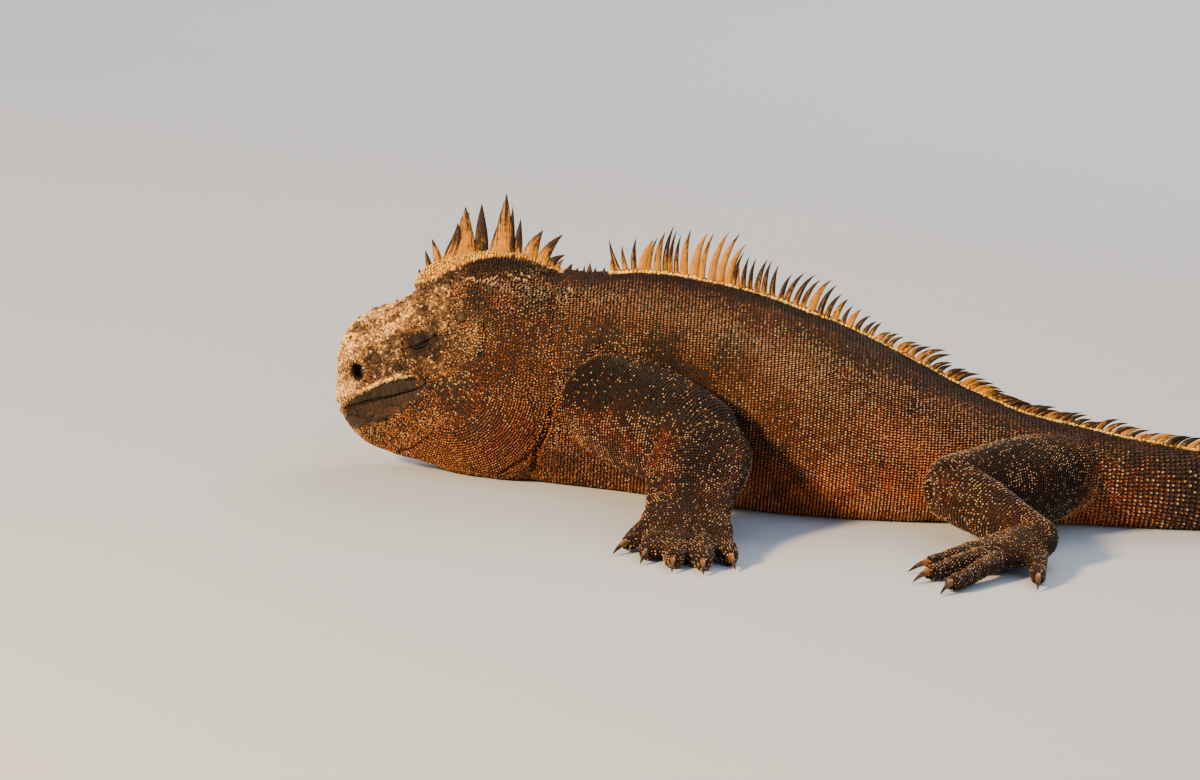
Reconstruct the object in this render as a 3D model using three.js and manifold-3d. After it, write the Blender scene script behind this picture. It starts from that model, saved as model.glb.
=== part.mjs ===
// A marine iguana basking with its chin on the floor, life size, in millimetres.
// +X runs towards the tail, -Y is the animal's left side and +Z is up.
// The origin is on the floor, under the middle of the chest between the shoulders.

import * as THREE from "three";
import { mergeVertices } from "three/addons/utils/BufferGeometryUtils.js";
import Module from "manifold-3d";

const wasm = await Module();
wasm.setup();

// Driving dimensions.
const VENT = 262; // from the origin back to the root of the tail
const TAIL_LENGTH = 560;
const TAIL_SWING = THREE.MathUtils.degToRad(34); // how far the tail's heading swings to each side
const TAIL_WAVES = 0.775; // waves of the swing along the tail
const EYE_RADIUS = 6.2;
const GAP = 0.3; // clear space between pieces that touch
const CLAW = 16; // a claw's length, with its root in the digit
const PATH_STEP = 4;
const BODY_SIDES = 24;
const BODY_STEPS = 52;

// Cross-sections of the trunk, from the snout to the tip of the tail. at is the distance along
// the body from the origin, top and bottom are heights, half is the half-width and widest is
// the height at which the section is widest. A bottom below the floor is cut to a flat.
const SECTIONS = [
  { at: -131.4, top: 52, bottom: 38, half: 4, widest: 45 },
  { at: -130.2, top: 61, bottom: 31, half: 10, widest: 46 },
  { at: -127, top: 68, bottom: 24, half: 15, widest: 45 },
  { at: -121.5, top: 74.5, bottom: 16.5, half: 18.5, widest: 44 },
  { at: -113, top: 80, bottom: 10.5, half: 21.5, widest: 42 },
  { at: -103, top: 84, bottom: 7.5, half: 24.5, widest: 41 },
  { at: -93, top: 90.5, bottom: 5.5, half: 27.5, widest: 40 },
  { at: -81, top: 99.5, bottom: 3, half: 31, widest: 38 },
  { at: -66, top: 105.5, bottom: -0.5, half: 34.5, widest: 36 },
  { at: -48, top: 108, bottom: -2, half: 36.5, widest: 38 },
  { at: -28, top: 107, bottom: -1.5, half: 38.5, widest: 42 },
  { at: -6, top: 106.5, bottom: -2.5, half: 42.5, widest: 45 },
  { at: 18, top: 109, bottom: -4, half: 49, widest: 44 },
  { at: 46, top: 107, bottom: -8, half: 58, widest: 40 },
  { at: 76, top: 102, bottom: -10, half: 66.5, widest: 37 },
  { at: 106, top: 94, bottom: -10, half: 70, widest: 34 },
  { at: 136, top: 83, bottom: -9, half: 67, widest: 31 },
  { at: 166, top: 70, bottom: -7, half: 58, widest: 28 },
  { at: 194, top: 58.5, bottom: -5, half: 47, widest: 25.5 },
  { at: 220, top: 51, bottom: -3, half: 38, widest: 24 },
  { at: 246, top: 47, bottom: -2, half: 31, widest: 23 },
  { at: 274, top: 43, bottom: -1.5, half: 24, widest: 22 },
  { at: 312, top: 38.5, bottom: -1.2, half: 17.5, widest: 20 },
  { at: 370, top: 33, bottom: -1, half: 12, widest: 17 },
  { at: 450, top: 28, bottom: -0.8, half: 9, widest: 14 },
  { at: 540, top: 22.5, bottom: -0.6, half: 7, widest: 11 },
  { at: 630, top: 17, bottom: -0.5, half: 5.2, widest: 8.5 },
  { at: 715, top: 12, bottom: -0.4, half: 3.7, widest: 6 },
  { at: 785, top: 7.5, bottom: -0.3, half: 2.4, widest: 3.8 },
  { at: VENT + TAIL_LENGTH, top: 3.2, bottom: -0.2, half: 1.1, widest: 1.6 },
];

// Muscles and folds that swell or sink the trunk's skin on both sides, each a soft mound
// at a place (x, |y|, z) with a reach along each axis.
const SWELLINGS = [
  { name: "jowl", x: -68, y: 34, z: 30, reach: [15, 22, 15], rise: 3.6 },
  { name: "brow", x: -94, y: 19, z: 77, reach: [13, 9, 6], rise: 2.4 },
  { name: "temple", x: -74, y: 26, z: 76, reach: [12, 14, 9], rise: 2 },
  { name: "cheek hollow", x: -84, y: 28, z: 58, reach: [9, 12, 7], rise: -1.6 },
  { name: "muzzle", x: -117, y: 17, z: 34, reach: [11, 9, 8], rise: 1.6 },
  { name: "throat fold", x: -30, y: 34, z: 22, reach: [6, 26, 28], rise: -4.5 },
  { name: "nape furrow", x: -56, y: 9, z: 104, reach: [36, 6, 9], rise: -2.6 },
  { name: "shoulder blade", x: 8, y: 36, z: 82, reach: [26, 20, 17], rise: 4 },
  { name: "rump", x: 226, y: 24, z: 40, reach: [24, 16, 12], rise: 2.5 },
];

// The heading of the body's midline at a distance from the origin, in radians from +X.
function heading(at) {
  const along = Math.max(0, (at - VENT) / TAIL_LENGTH);
  return TAIL_SWING * Math.sin(2 * Math.PI * TAIL_WAVES * along);
}

// The midline's places on the floor, one each PATH_STEP from the vent back.
const midline = [new THREE.Vector2(VENT, 0)];
for (let at = VENT; at < VENT + TAIL_LENGTH + PATH_STEP; at += PATH_STEP) {
  const turn = heading(at + PATH_STEP / 2);
  const step = new THREE.Vector2(Math.cos(turn), Math.sin(turn)).multiplyScalar(PATH_STEP);
  midline.push(midline.at(-1).clone().add(step));
}

function midlineAt(at) {
  if (at <= VENT) return new THREE.Vector2(at, 0);
  const steps = (at - VENT) / PATH_STEP;
  const from = Math.floor(steps);
  return midline[from].clone().lerp(midline[from + 1], steps - from);
}

// A smooth curve through one or more measures of a list of rows, read by a share from 0 to 1.
function through(rows, ...keys) {
  const curve = new THREE.CatmullRomCurve3(
    rows.map((row) => new THREE.Vector3(...keys.map((key) => row[key]))),
    false,
    "catmullrom",
  );
  return (share) => curve.getPoint(THREE.MathUtils.clamp(share, 0, 1)).toArray();
}

const outlineOf = through(SECTIONS, "at", "top", "bottom");
const widthOf = through(SECTIONS, "half", "widest", "at");

// The share along SECTIONS at which the body is at this distance from the origin.
function shareAt(at) {
  let [low, high] = [0, 1];
  for (let i = 0; i < 30; i++) {
    const middle = (low + high) / 2;
    if (outlineOf(middle)[0] < at) low = middle;
    else high = middle;
  }
  return low;
}

function topAt(at) {
  return outlineOf(shareAt(at))[1];
}

function bulge(value, power) {
  return Math.sign(value) * Math.abs(value) ** power;
}

// A point of the trunk's skin, at a share of its length and an angle from the right side up.
function skinPoint(share, angle, out = 1, grow = 0) {
  const [at, top, bottom] = outlineOf(share);
  const [half, widest] = widthOf(share);
  const centre = midlineAt(at);
  const turn = heading(at);
  const across = bulge(Math.cos(angle), 0.95) * (half + grow);
  const rise = Math.sin(angle) > 0 ? top - widest : widest - bottom;
  const up = bulge(Math.sin(angle), Math.sin(angle) > 0 ? 0.98 : 0.85) * (rise + grow);
  const spot = new THREE.Vector3(0, across * out, up * out);
  for (const mound of SWELLINGS) {
    const offset = [
      (at - mound.x) / mound.reach[0],
      (Math.abs(across) - mound.y) / mound.reach[1],
      (widest + up - mound.z) / mound.reach[2],
    ];
    const nearness = Math.exp(-offset.reduce((sum, o) => sum + o * o, 0));
    const away = new THREE.Vector3(0, across, up).normalize();
    spot.addScaledVector(away, mound.rise * nearness * out);
  }
  return [
    centre.x - Math.sin(turn) * spot.y,
    centre.y + Math.cos(turn) * spot.y,
    widest + spot.z,
  ];
}

// A closed tube: place(share, angle, out) gives each corner, and out is 0 at an end's middle.
function tube(sides, steps, place) {
  const geometry = new THREE.CylinderGeometry(1, 1, 1, sides, steps);
  const position = geometry.getAttribute("position");
  for (let i = 0; i < position.count; i++) {
    const [x, y, z] = [position.getX(i), position.getY(i), position.getZ(i)];
    position.setXYZ(i, ...place(y + 0.5, Math.atan2(x, z), Math.min(1, Math.hypot(x, z))));
  }
  return geometry;
}

// A closed geometry as a solid that can be joined and cut.
function solid(geometry) {
  geometry.deleteAttribute("normal");
  geometry.deleteAttribute("uv");
  const merged = mergeVertices(geometry, 1e-3);
  const vertProperties = new Float32Array(merged.attributes.position.array);
  const triVerts = new Uint32Array(merged.index.array);
  return new wasm.Manifold(new wasm.Mesh({ numProp: 3, vertProperties, triVerts }));
}

function joined(solids) {
  return solids.reduce((whole, piece) => whole.add(piece));
}

function ball(centre, radii, sides = 12, turn = 0) {
  const geometry = new THREE.SphereGeometry(1, sides, Math.ceil(sides * 0.6));
  geometry.scale(...radii).rotateY(-turn).translate(...centre);
  return solid(geometry);
}

// A tube through rows of a place and two radii: wide is level and deep is upright.
function limb(rows, sides, steps) {
  const path = new THREE.CatmullRomCurve3(
    rows.map((row) => new THREE.Vector3(...row.place)),
    false,
    "catmullrom",
  );
  const radii = new THREE.CatmullRomCurve3(
    rows.map((row) => new THREE.Vector3(row.wide, row.deep, 0)),
    false,
    "catmullrom",
  );
  return solid(
    tube(sides, steps, (share, angle, out) => {
      const along = path.getTangent(share);
      const side = new THREE.Vector3(0, 0, 1).cross(along).normalize();
      const upright = along.clone().cross(side);
      const radius = radii.getPoint(share);
      return path
        .getPoint(share)
        .addScaledVector(side, Math.cos(angle) * radius.x * out)
        .addScaledVector(upright, Math.sin(angle) * radius.y * out)
        .toArray();
    }),
  );
}

// A thin slab for parting a solid, centred at a place and square to a direction.
function slab(place, direction, size) {
  const geometry = new THREE.BoxGeometry(size, size, GAP);
  const turn = new THREE.Quaternion().setFromUnitVectors(
    new THREE.Vector3(0, 0, 1),
    new THREE.Vector3(...direction).normalize(),
  );
  return solid(geometry.applyQuaternion(turn).translate(...place));
}

// A thin ribbon that runs through corners (x, z) and right across the body.
function ribbon(corners) {
  const reach = 120;
  const points = corners.map(([x, z]) => new THREE.Vector2(x, z));
  const sides = [1, -1].map((side) =>
    points.map((point, i) => {
      const before = points[Math.max(0, i - 1)];
      const after = points[Math.min(points.length - 1, i + 1)];
      const along = after.clone().sub(before).normalize();
      const square = new THREE.Vector2(-along.y, along.x);
      return point.clone().addScaledVector(square, (side * GAP) / 2);
    }),
  );
  const shape = new THREE.Shape([...sides[0], ...sides[1].reverse()]);
  const geometry = new THREE.ExtrudeGeometry(shape, { depth: 2 * reach, bevelEnabled: false });
  return solid(geometry.translate(0, 0, -reach).rotateX(Math.PI / 2));
}

// What is left of a solid above the floor.
function onFloor(whole) {
  return whole.trimByPlane([0, 0, 1], 0);
}

// The piece of a parted solid that holds most of a small ball at a place.
function pieceAt(pieces, place) {
  const probe = ball(place, [3, 3, 3], 8);
  const shared = pieces.map((piece) => piece.intersect(probe).volume());
  return pieces[shared.indexOf(Math.max(...shared))];
}

// A node keeps only its largest closed surface.
function largest(whole) {
  return whole.decompose().reduce((a, b) => (b.volume() > a.volume() ? b : a));
}

// The trunk from the snout to the tip of the tail.
function trunk(grow) {
  return solid(
    tube(BODY_SIDES, BODY_STEPS, (share, angle, out) => skinPoint(share, angle, out, grow)),
  );
}

// The crest's spines at places along the body: their length, and their lean back from
// upright in degrees.
const CREST = [
  { at: -92, length: 5, lean: -8 },
  { at: -86, length: 14, lean: -12 },
  { at: -76, length: 28, lean: -12 },
  { at: -66, length: 32, lean: -10 },
  { at: -50, length: 36, lean: -8 },
  { at: -42, length: 28, lean: 0 },
  { at: -34, length: 19, lean: 20 },
  { at: -26, length: 15, lean: 38 },
  { at: -20, length: 8, lean: 42 },
  { at: -16, length: 3, lean: 20 },
  { at: -1, length: 3, lean: -10 },
  { at: 4, length: 13, lean: -20 },
  { at: 12, length: 16, lean: -10 },
  { at: 26, length: 23, lean: 0 },
  { at: 60, length: 24, lean: 14 },
  { at: 100, length: 22, lean: 28 },
  { at: 150, length: 20, lean: 46 },
  { at: 200, length: 18, lean: 60 },
  { at: 262, length: 15, lean: 67 },
  { at: 420, length: 12, lean: 68 },
  { at: 640, length: 8, lean: 68 },
  { at: 800, length: 4, lean: 68 },
];
const NAPE_SPACING = 6.2;
const BACK_SPACING = 4.5;
const TAIL_SPACING = 6.6; // of the first length of the tail; each further length adds one
const SPINE_ROOT = 3; // how deep a spine is sunk in the back
const SPINE_CURL = THREE.MathUtils.degToRad(16); // how much further back a tip leans than a root

function crestAt(at) {
  const next = Math.max(1, CREST.findIndex((row) => row.at >= at));
  const [before, after] = [CREST[next - 1], CREST[next]];
  const between = (key) =>
    THREE.MathUtils.mapLinear(at, before.at, after.at, before[key], after[key]);
  return { length: between("length"), lean: THREE.MathUtils.degToRad(between("lean")) };
}

// A closed pointed form: place(share, angle, taper) gives each corner from root to tip.
function spike(sides, steps, place) {
  const geometry = new THREE.ConeGeometry(1, 1, sides, steps);
  const position = geometry.getAttribute("position");
  for (let i = 0; i < position.count; i++) {
    const [x, y, z] = [position.getX(i), position.getY(i), position.getZ(i)];
    position.setXYZ(i, ...place(y + 0.5, Math.atan2(x, z), Math.hypot(x, z)));
  }
  return solid(geometry);
}

// One spine: a flattened blade, rooted in the back and curling towards the tail.
function spine(at, spacing) {
  const random = () => THREE.MathUtils.seededRandom();
  const row = crestAt(at);
  const length = row.length * (0.8 + 0.26 * random()) + SPINE_ROOT;
  const lean = row.lean + 0.12 * (random() - 0.5);
  const tilt = 0.1 * (random() - 0.5);
  const wide = Math.min(0.48 * spacing * Math.cos(lean), 0.12 * length + 0.6);
  const thick = 0.5 + 0.022 * length;
  const centre = midlineAt(at);
  const turn = heading(at);
  const onward = new THREE.Vector3(Math.cos(turn), Math.sin(turn), 0);
  const aside = new THREE.Vector3(-Math.sin(turn), Math.cos(turn), 0);
  const root = new THREE.Vector3(centre.x, centre.y, topAt(at));
  const steps = length > 12 ? 2 : 1;
  return spike(4, steps, (share, angle, taper) => {
    const along = lean + SPINE_CURL * (share - 0.6);
    const reach = share * length - SPINE_ROOT;
    const [back, up] = reach > 0 ? [Math.sin(along), Math.cos(along)] : [0, 1];
    const fore = Math.cos(angle) * wide * taper ** 0.6;
    return root
      .clone()
      .addScaledVector(onward, back * reach + fore * up)
      .addScaledVector(aside, Math.sin(angle) * thick * taper ** 0.6 + tilt * Math.max(0, reach))
      .add(new THREE.Vector3(0, 0, up * reach - fore * back))
      .toArray();
  });
}

// A run of spines between two distances, half a spacing clear of both. The last ones lean
// over the next length of the back, and are cut clear of it.
function crest(from, to, spacing) {
  const count = Math.round((to - from) / spacing);
  const pitch = (to - from) / count;
  const spines = Array.from({ length: count }, (_, i) => spine(from + pitch * (i + 0.5), pitch));
  const onward = [Math.cos(heading(to)), Math.sin(heading(to))];
  const offset = midlineAt(to).dot(new THREE.Vector2(...onward));
  return joined(spines).subtract(grownTrunk.trimByPlane([...onward, 0], offset));
}

// The fleshy ridge that carries the tall spines of the nape.
function napeRidge() {
  const rows = [-91, -86, -74, -58, -40, -26, -18].map((at, i, all) => {
    const end = i === 0 || i === all.length - 1;
    const size = end ? 1.2 : 4;
    return { place: [at, 0, topAt(at) - 1.4], wide: size, deep: size * 1.1 };
  });
  return limb(rows, 7, 10);
}

// The outward direction of the trunk's skin.
function skinNormal(share, angle) {
  const step = 0.002;
  const at = (s, a) => new THREE.Vector3(...skinPoint(s, a));
  const along = at(share + step, angle).sub(at(share - step, angle));
  const round = at(share, angle + step * 5).sub(at(share, angle - step * 5));
  return round.cross(along).normalize();
}

// A blunt horny cone that stands on the skin.
function scute(share, angle, radius, height) {
  const random = () => THREE.MathUtils.seededRandom();
  const size = radius * (0.86 + 0.28 * random());
  const rise = height * (0.75 + 0.5 * random());
  const sink = 1.6;
  const foot = new THREE.Vector3(...skinPoint(share, angle));
  const turn = new THREE.Quaternion().setFromUnitVectors(
    new THREE.Vector3(0, 1, 0),
    skinNormal(share, angle),
  );
  return spike(5, 1, (along, around, taper) =>
    new THREE.Vector3(Math.sin(around), 0, Math.cos(around))
      .multiplyScalar(taper * size * (1 + sink / rise))
      .setY(along * (rise + sink) - sink)
      .applyQuaternion(turn)
      .add(foot)
      .toArray(),
  );
}

// Rows of scutes across the head, from the snout back. spread is how far a row reaches down
// each side from the top, in degrees round the head.
const SCUTE_ROWS = [
  { at: -129.6, count: 3, spread: 42, radius: 2.5, height: 1.8 },
  { at: -126, count: 4, spread: 58, radius: 2.7, height: 2.2 },
  { at: -120.5, count: 5, spread: 62, radius: 3, height: 2.7 },
  { at: -114.5, count: 6, spread: 66, radius: 3, height: 3 },
  { at: -108, count: 5, spread: 52, radius: 3.1, height: 3.2 },
  { at: -101.5, count: 6, spread: 56, radius: 2.9, height: 3 },
];
const TEMPLE_SCUTES = [
  { at: -86, down: 58, radius: 2.4, height: 2.2 },
  { at: -79.5, down: 56, radius: 3, height: 2.4 },
  { at: -71, down: 57, radius: 3, height: 2.4 },
  { at: -64, down: 62, radius: 2.4, height: 2 },
];

function scutes() {
  const top = Math.PI / 2;
  const rows = SCUTE_ROWS.flatMap((row) =>
    Array.from({ length: row.count }, (_, i) => {
      const down = THREE.MathUtils.degToRad(row.spread) * ((2 * i) / (row.count - 1) - 1);
      return scute(shareAt(row.at), top + down, row.radius, row.height);
    }),
  );
  const temples = TEMPLE_SCUTES.flatMap((row) =>
    [-1, 1].map((side) => {
      const down = THREE.MathUtils.degToRad(row.down) * side;
      return scute(shareAt(row.at), top + down, row.radius, row.height);
    }),
  );
  return joined([...rows, ...temples]);
}

// Where the body is parted, and a place inside each piece.
const NECK_FROM = [
  [-95, 125],
  [-93.5, 86.5],
  [-57, 84],
  [-51, 42],
  [-46, -15],
];
const MOUTH_FRONT = new THREE.Vector2(-127.2, 25.4);
const MOUTH_CORNER = new THREE.Vector2(-92.6, 49);
const MOUTH = [[-150, 9.7], MOUTH_CORNER.toArray(), [-80, 51], [-30, 42]];
const NAPE_FROM = -89.5;
const TORSO_FROM = -14;
const BARE_TIP = 18; // the end of the tail that carries no spines
const TAIL_CUTS = [VENT, 370, 480, 596, 712];

// A lip along the mouth's edge, from one corner round the snout to the other.
function lip(offset, size) {
  const rows = [];
  const count = 6;
  for (let i = -count; i <= count; i++) {
    const share = (Math.abs(i) / count) ** 1.4;
    const [at, height] = MOUTH_FRONT.clone().lerp(MOUTH_CORNER, share).toArray();
    const place = skinAtHeight(Math.max(at, -126.4), height + offset, Math.sign(i));
    const thin = 0.5 + 0.5 * Math.cos((Math.PI / 2) * share);
    rows.push({ place, wide: size * thin, deep: size * 1.2 * thin });
  }
  return limb(rows, 5, 12);
}

// The skin's place at a height on one side of a section, or on its underside for side 0.
function skinAtHeight(at, height, side) {
  const share = shareAt(at);
  let [low, high] = [-Math.PI / 2, 0.3];
  for (let i = 0; i < 20; i++) {
    const middle = (low + high) / 2;
    if (skinPoint(share, middle)[2] < height) low = middle;
    else high = middle;
  }
  const [x, y, z] = skinPoint(share, side === 0 ? -Math.PI / 2 : low);
  return [x, side * y, z];
}

function partTrunk() {
  const square = (at) => [Math.cos(heading(at)), Math.sin(heading(at)), 0];
  const onMidline = (at, z) => [midlineAt(at).x, midlineAt(at).y, z];
  const cuts = [TORSO_FROM, ...TAIL_CUTS].map((at) => slab(onMidline(at, 50), square(at), 220));
  const lips = lip(1.7, 1.9).add(lip(-1.9, 1.8));
  const whole = headCarved(onFloor(trunk(0).add(lips).add(scutes())));
  const pieces = whole.subtract(joined([...cuts, ribbon(NECK_FROM), ribbon(MOUTH)])).decompose();
  const parts = {
    head: pieceAt(pieces, [-100, 0, 70]),
    jaw: pieceAt(pieces, [-95, 0, 25]),
  };
  const neck = pieceAt(pieces, [-30, 0, 60]).add(napeRidge());
  parts.neck = largest(neck.add(crest(NAPE_FROM, TORSO_FROM - GAP, NAPE_SPACING)));
  const torso = pieceAt(pieces, [80, 0, 50]);
  parts.torso = largest(torso.add(crest(TORSO_FROM + GAP, VENT - GAP, BACK_SPACING)));
  TAIL_CUTS.forEach((from, i) => {
    const to = TAIL_CUTS[i + 1] ?? VENT + TAIL_LENGTH - BARE_TIP;
    const middle = (from + to) / 2;
    const piece = pieceAt(pieces, onMidline(middle, topAt(middle) / 2));
    parts[`tail_${i + 1}`] = largest(piece.add(crest(from + GAP, to - GAP, TAIL_SPACING + i)));
  });
  return parts;
}

// The eyes, nostrils and ears: a place on the left side, and radii along the three axes.
const EYE = { x: -91.5, y: 18.9, z: 67.5, slope: THREE.MathUtils.degToRad(24) };
const LIDS = [9.6, 8, 7.6];
const SLIT = { out: 7, down: 0.6, radii: [6.2, 6, 1.7] };
const NOSTRIL = { x: -121.5, y: 17.3, z: 48, rim: [4.8, 2.8, 5.2], out: 1.2, hole: [2.2, 4.6, 3] };
const EAR = { x: -57.5, y: 34.6, z: 60, radii: [4, 2.6, 6] };

function headCarved(whole) {
  const socket = EYE_RADIUS + GAP;
  let carved = whole;
  for (const side of [-1, 1]) {
    const eye = [EYE.x, side * EYE.y, EYE.z];
    const slit = [EYE.x, side * (EYE.y + SLIT.out), EYE.z - SLIT.down];
    const nostril = [NOSTRIL.x, side * NOSTRIL.y, NOSTRIL.z];
    const hole = [NOSTRIL.x, side * (NOSTRIL.y + NOSTRIL.out), NOSTRIL.z];
    carved = carved
      .add(ball(eye, LIDS, 10, EYE.slope))
      .subtract(ball(eye, [socket, socket, socket], 10))
      .subtract(ball(slit, SLIT.radii, 8, EYE.slope))
      .add(ball(nostril, NOSTRIL.rim, 8))
      .subtract(ball(hole, NOSTRIL.hole, 7))
      .subtract(ball([EAR.x, side * EAR.y, EAR.z], EAR.radii, 9));
  }
  return carved;
}

// A digit with its claw, laid out from a knuckle along a level direction.
function digit(knuckle, direction, length, radius) {
  const point = (along, z) => [
    knuckle[0] + direction[0] * along,
    knuckle[1] + direction[1] * along,
    z,
  ];
  const toe = limb(
    [
      { place: point(-6, knuckle[2] - 0.5), wide: radius * 0.8, deep: radius * 0.7 },
      { place: point(0, knuckle[2]), wide: radius, deep: radius * 0.95 },
      { place: point(length * 0.4, 7.4), wide: radius * 0.98, deep: radius },
      { place: point(length * 0.75, 5), wide: radius * 0.9, deep: radius * 0.98 },
      { place: point(length, 4.1), wide: radius * 0.72, deep: radius * 0.8 },
      { place: point(length + 2, 4), wide: radius * 0.25, deep: radius * 0.3 },
    ],
    6,
    4,
  );
  const claw = spike(4, 2, (share, angle, taper) => {
    const along = length - 4 + CLAW * share;
    const arch = 4.8 + 2.4 * share - 6.4 * share ** 2;
    const aside = -Math.sin(angle) * 2.1 * taper ** 0.7;
    return [
      knuckle[0] + direction[0] * along - direction[1] * aside,
      knuckle[1] + direction[1] * along + direction[0] * aside,
      arch + Math.cos(angle) * 2.6 * taper ** 0.7,
    ];
  });
  return toe.add(claw);
}

// Digits fanned from the middle of a knuckle line. across is the offset towards the inner
// side, back is how far behind the line a digit starts and fan is its angle in degrees.
const HAND_DIGITS = [
  { across: 18, back: 11, fan: 30, length: 20, radius: 5.4 },
  { across: 13, back: 1, fan: 12, length: 25, radius: 5.8 },
  { across: 4, back: -1, fan: 2, length: 36, radius: 6.1 },
  { across: -7.5, back: -1, fan: -2, length: 36, radius: 6.1 },
  { across: -16.5, back: 5, fan: -12, length: 26, radius: 5.8 },
];
const FOOT_DIGITS = [
  { across: 12.5, back: 8, fan: 30, length: 20, radius: 4.8 },
  { across: 9.5, back: 1, fan: 15, length: 34, radius: 5.1 },
  { across: 1.5, back: -1, fan: 4, length: 49, radius: 5.2 },
  { across: -6.5, back: 0, fan: -9, length: 62, radius: 5.2 },
  { across: -12, back: 18, fan: -34, length: 36, radius: 4.9 },
];

function digits(rows, middle, aim, side) {
  const ahead = new THREE.Vector2(...aim).normalize();
  const inner = new THREE.Vector2(ahead.y, -ahead.x).multiplyScalar(side);
  return joined(
    rows.map((row) => {
      const fan = THREE.MathUtils.degToRad(row.fan);
      const start = new THREE.Vector2(middle[0], middle[1])
        .addScaledVector(inner, row.across)
        .addScaledVector(ahead, -row.back);
      const direction = ahead
        .clone()
        .multiplyScalar(Math.cos(fan))
        .addScaledVector(inner, Math.sin(fan));
      return digit([start.x, start.y, middle[2]], direction.toArray(), row.length, row.radius);
    }),
  );
}

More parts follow.
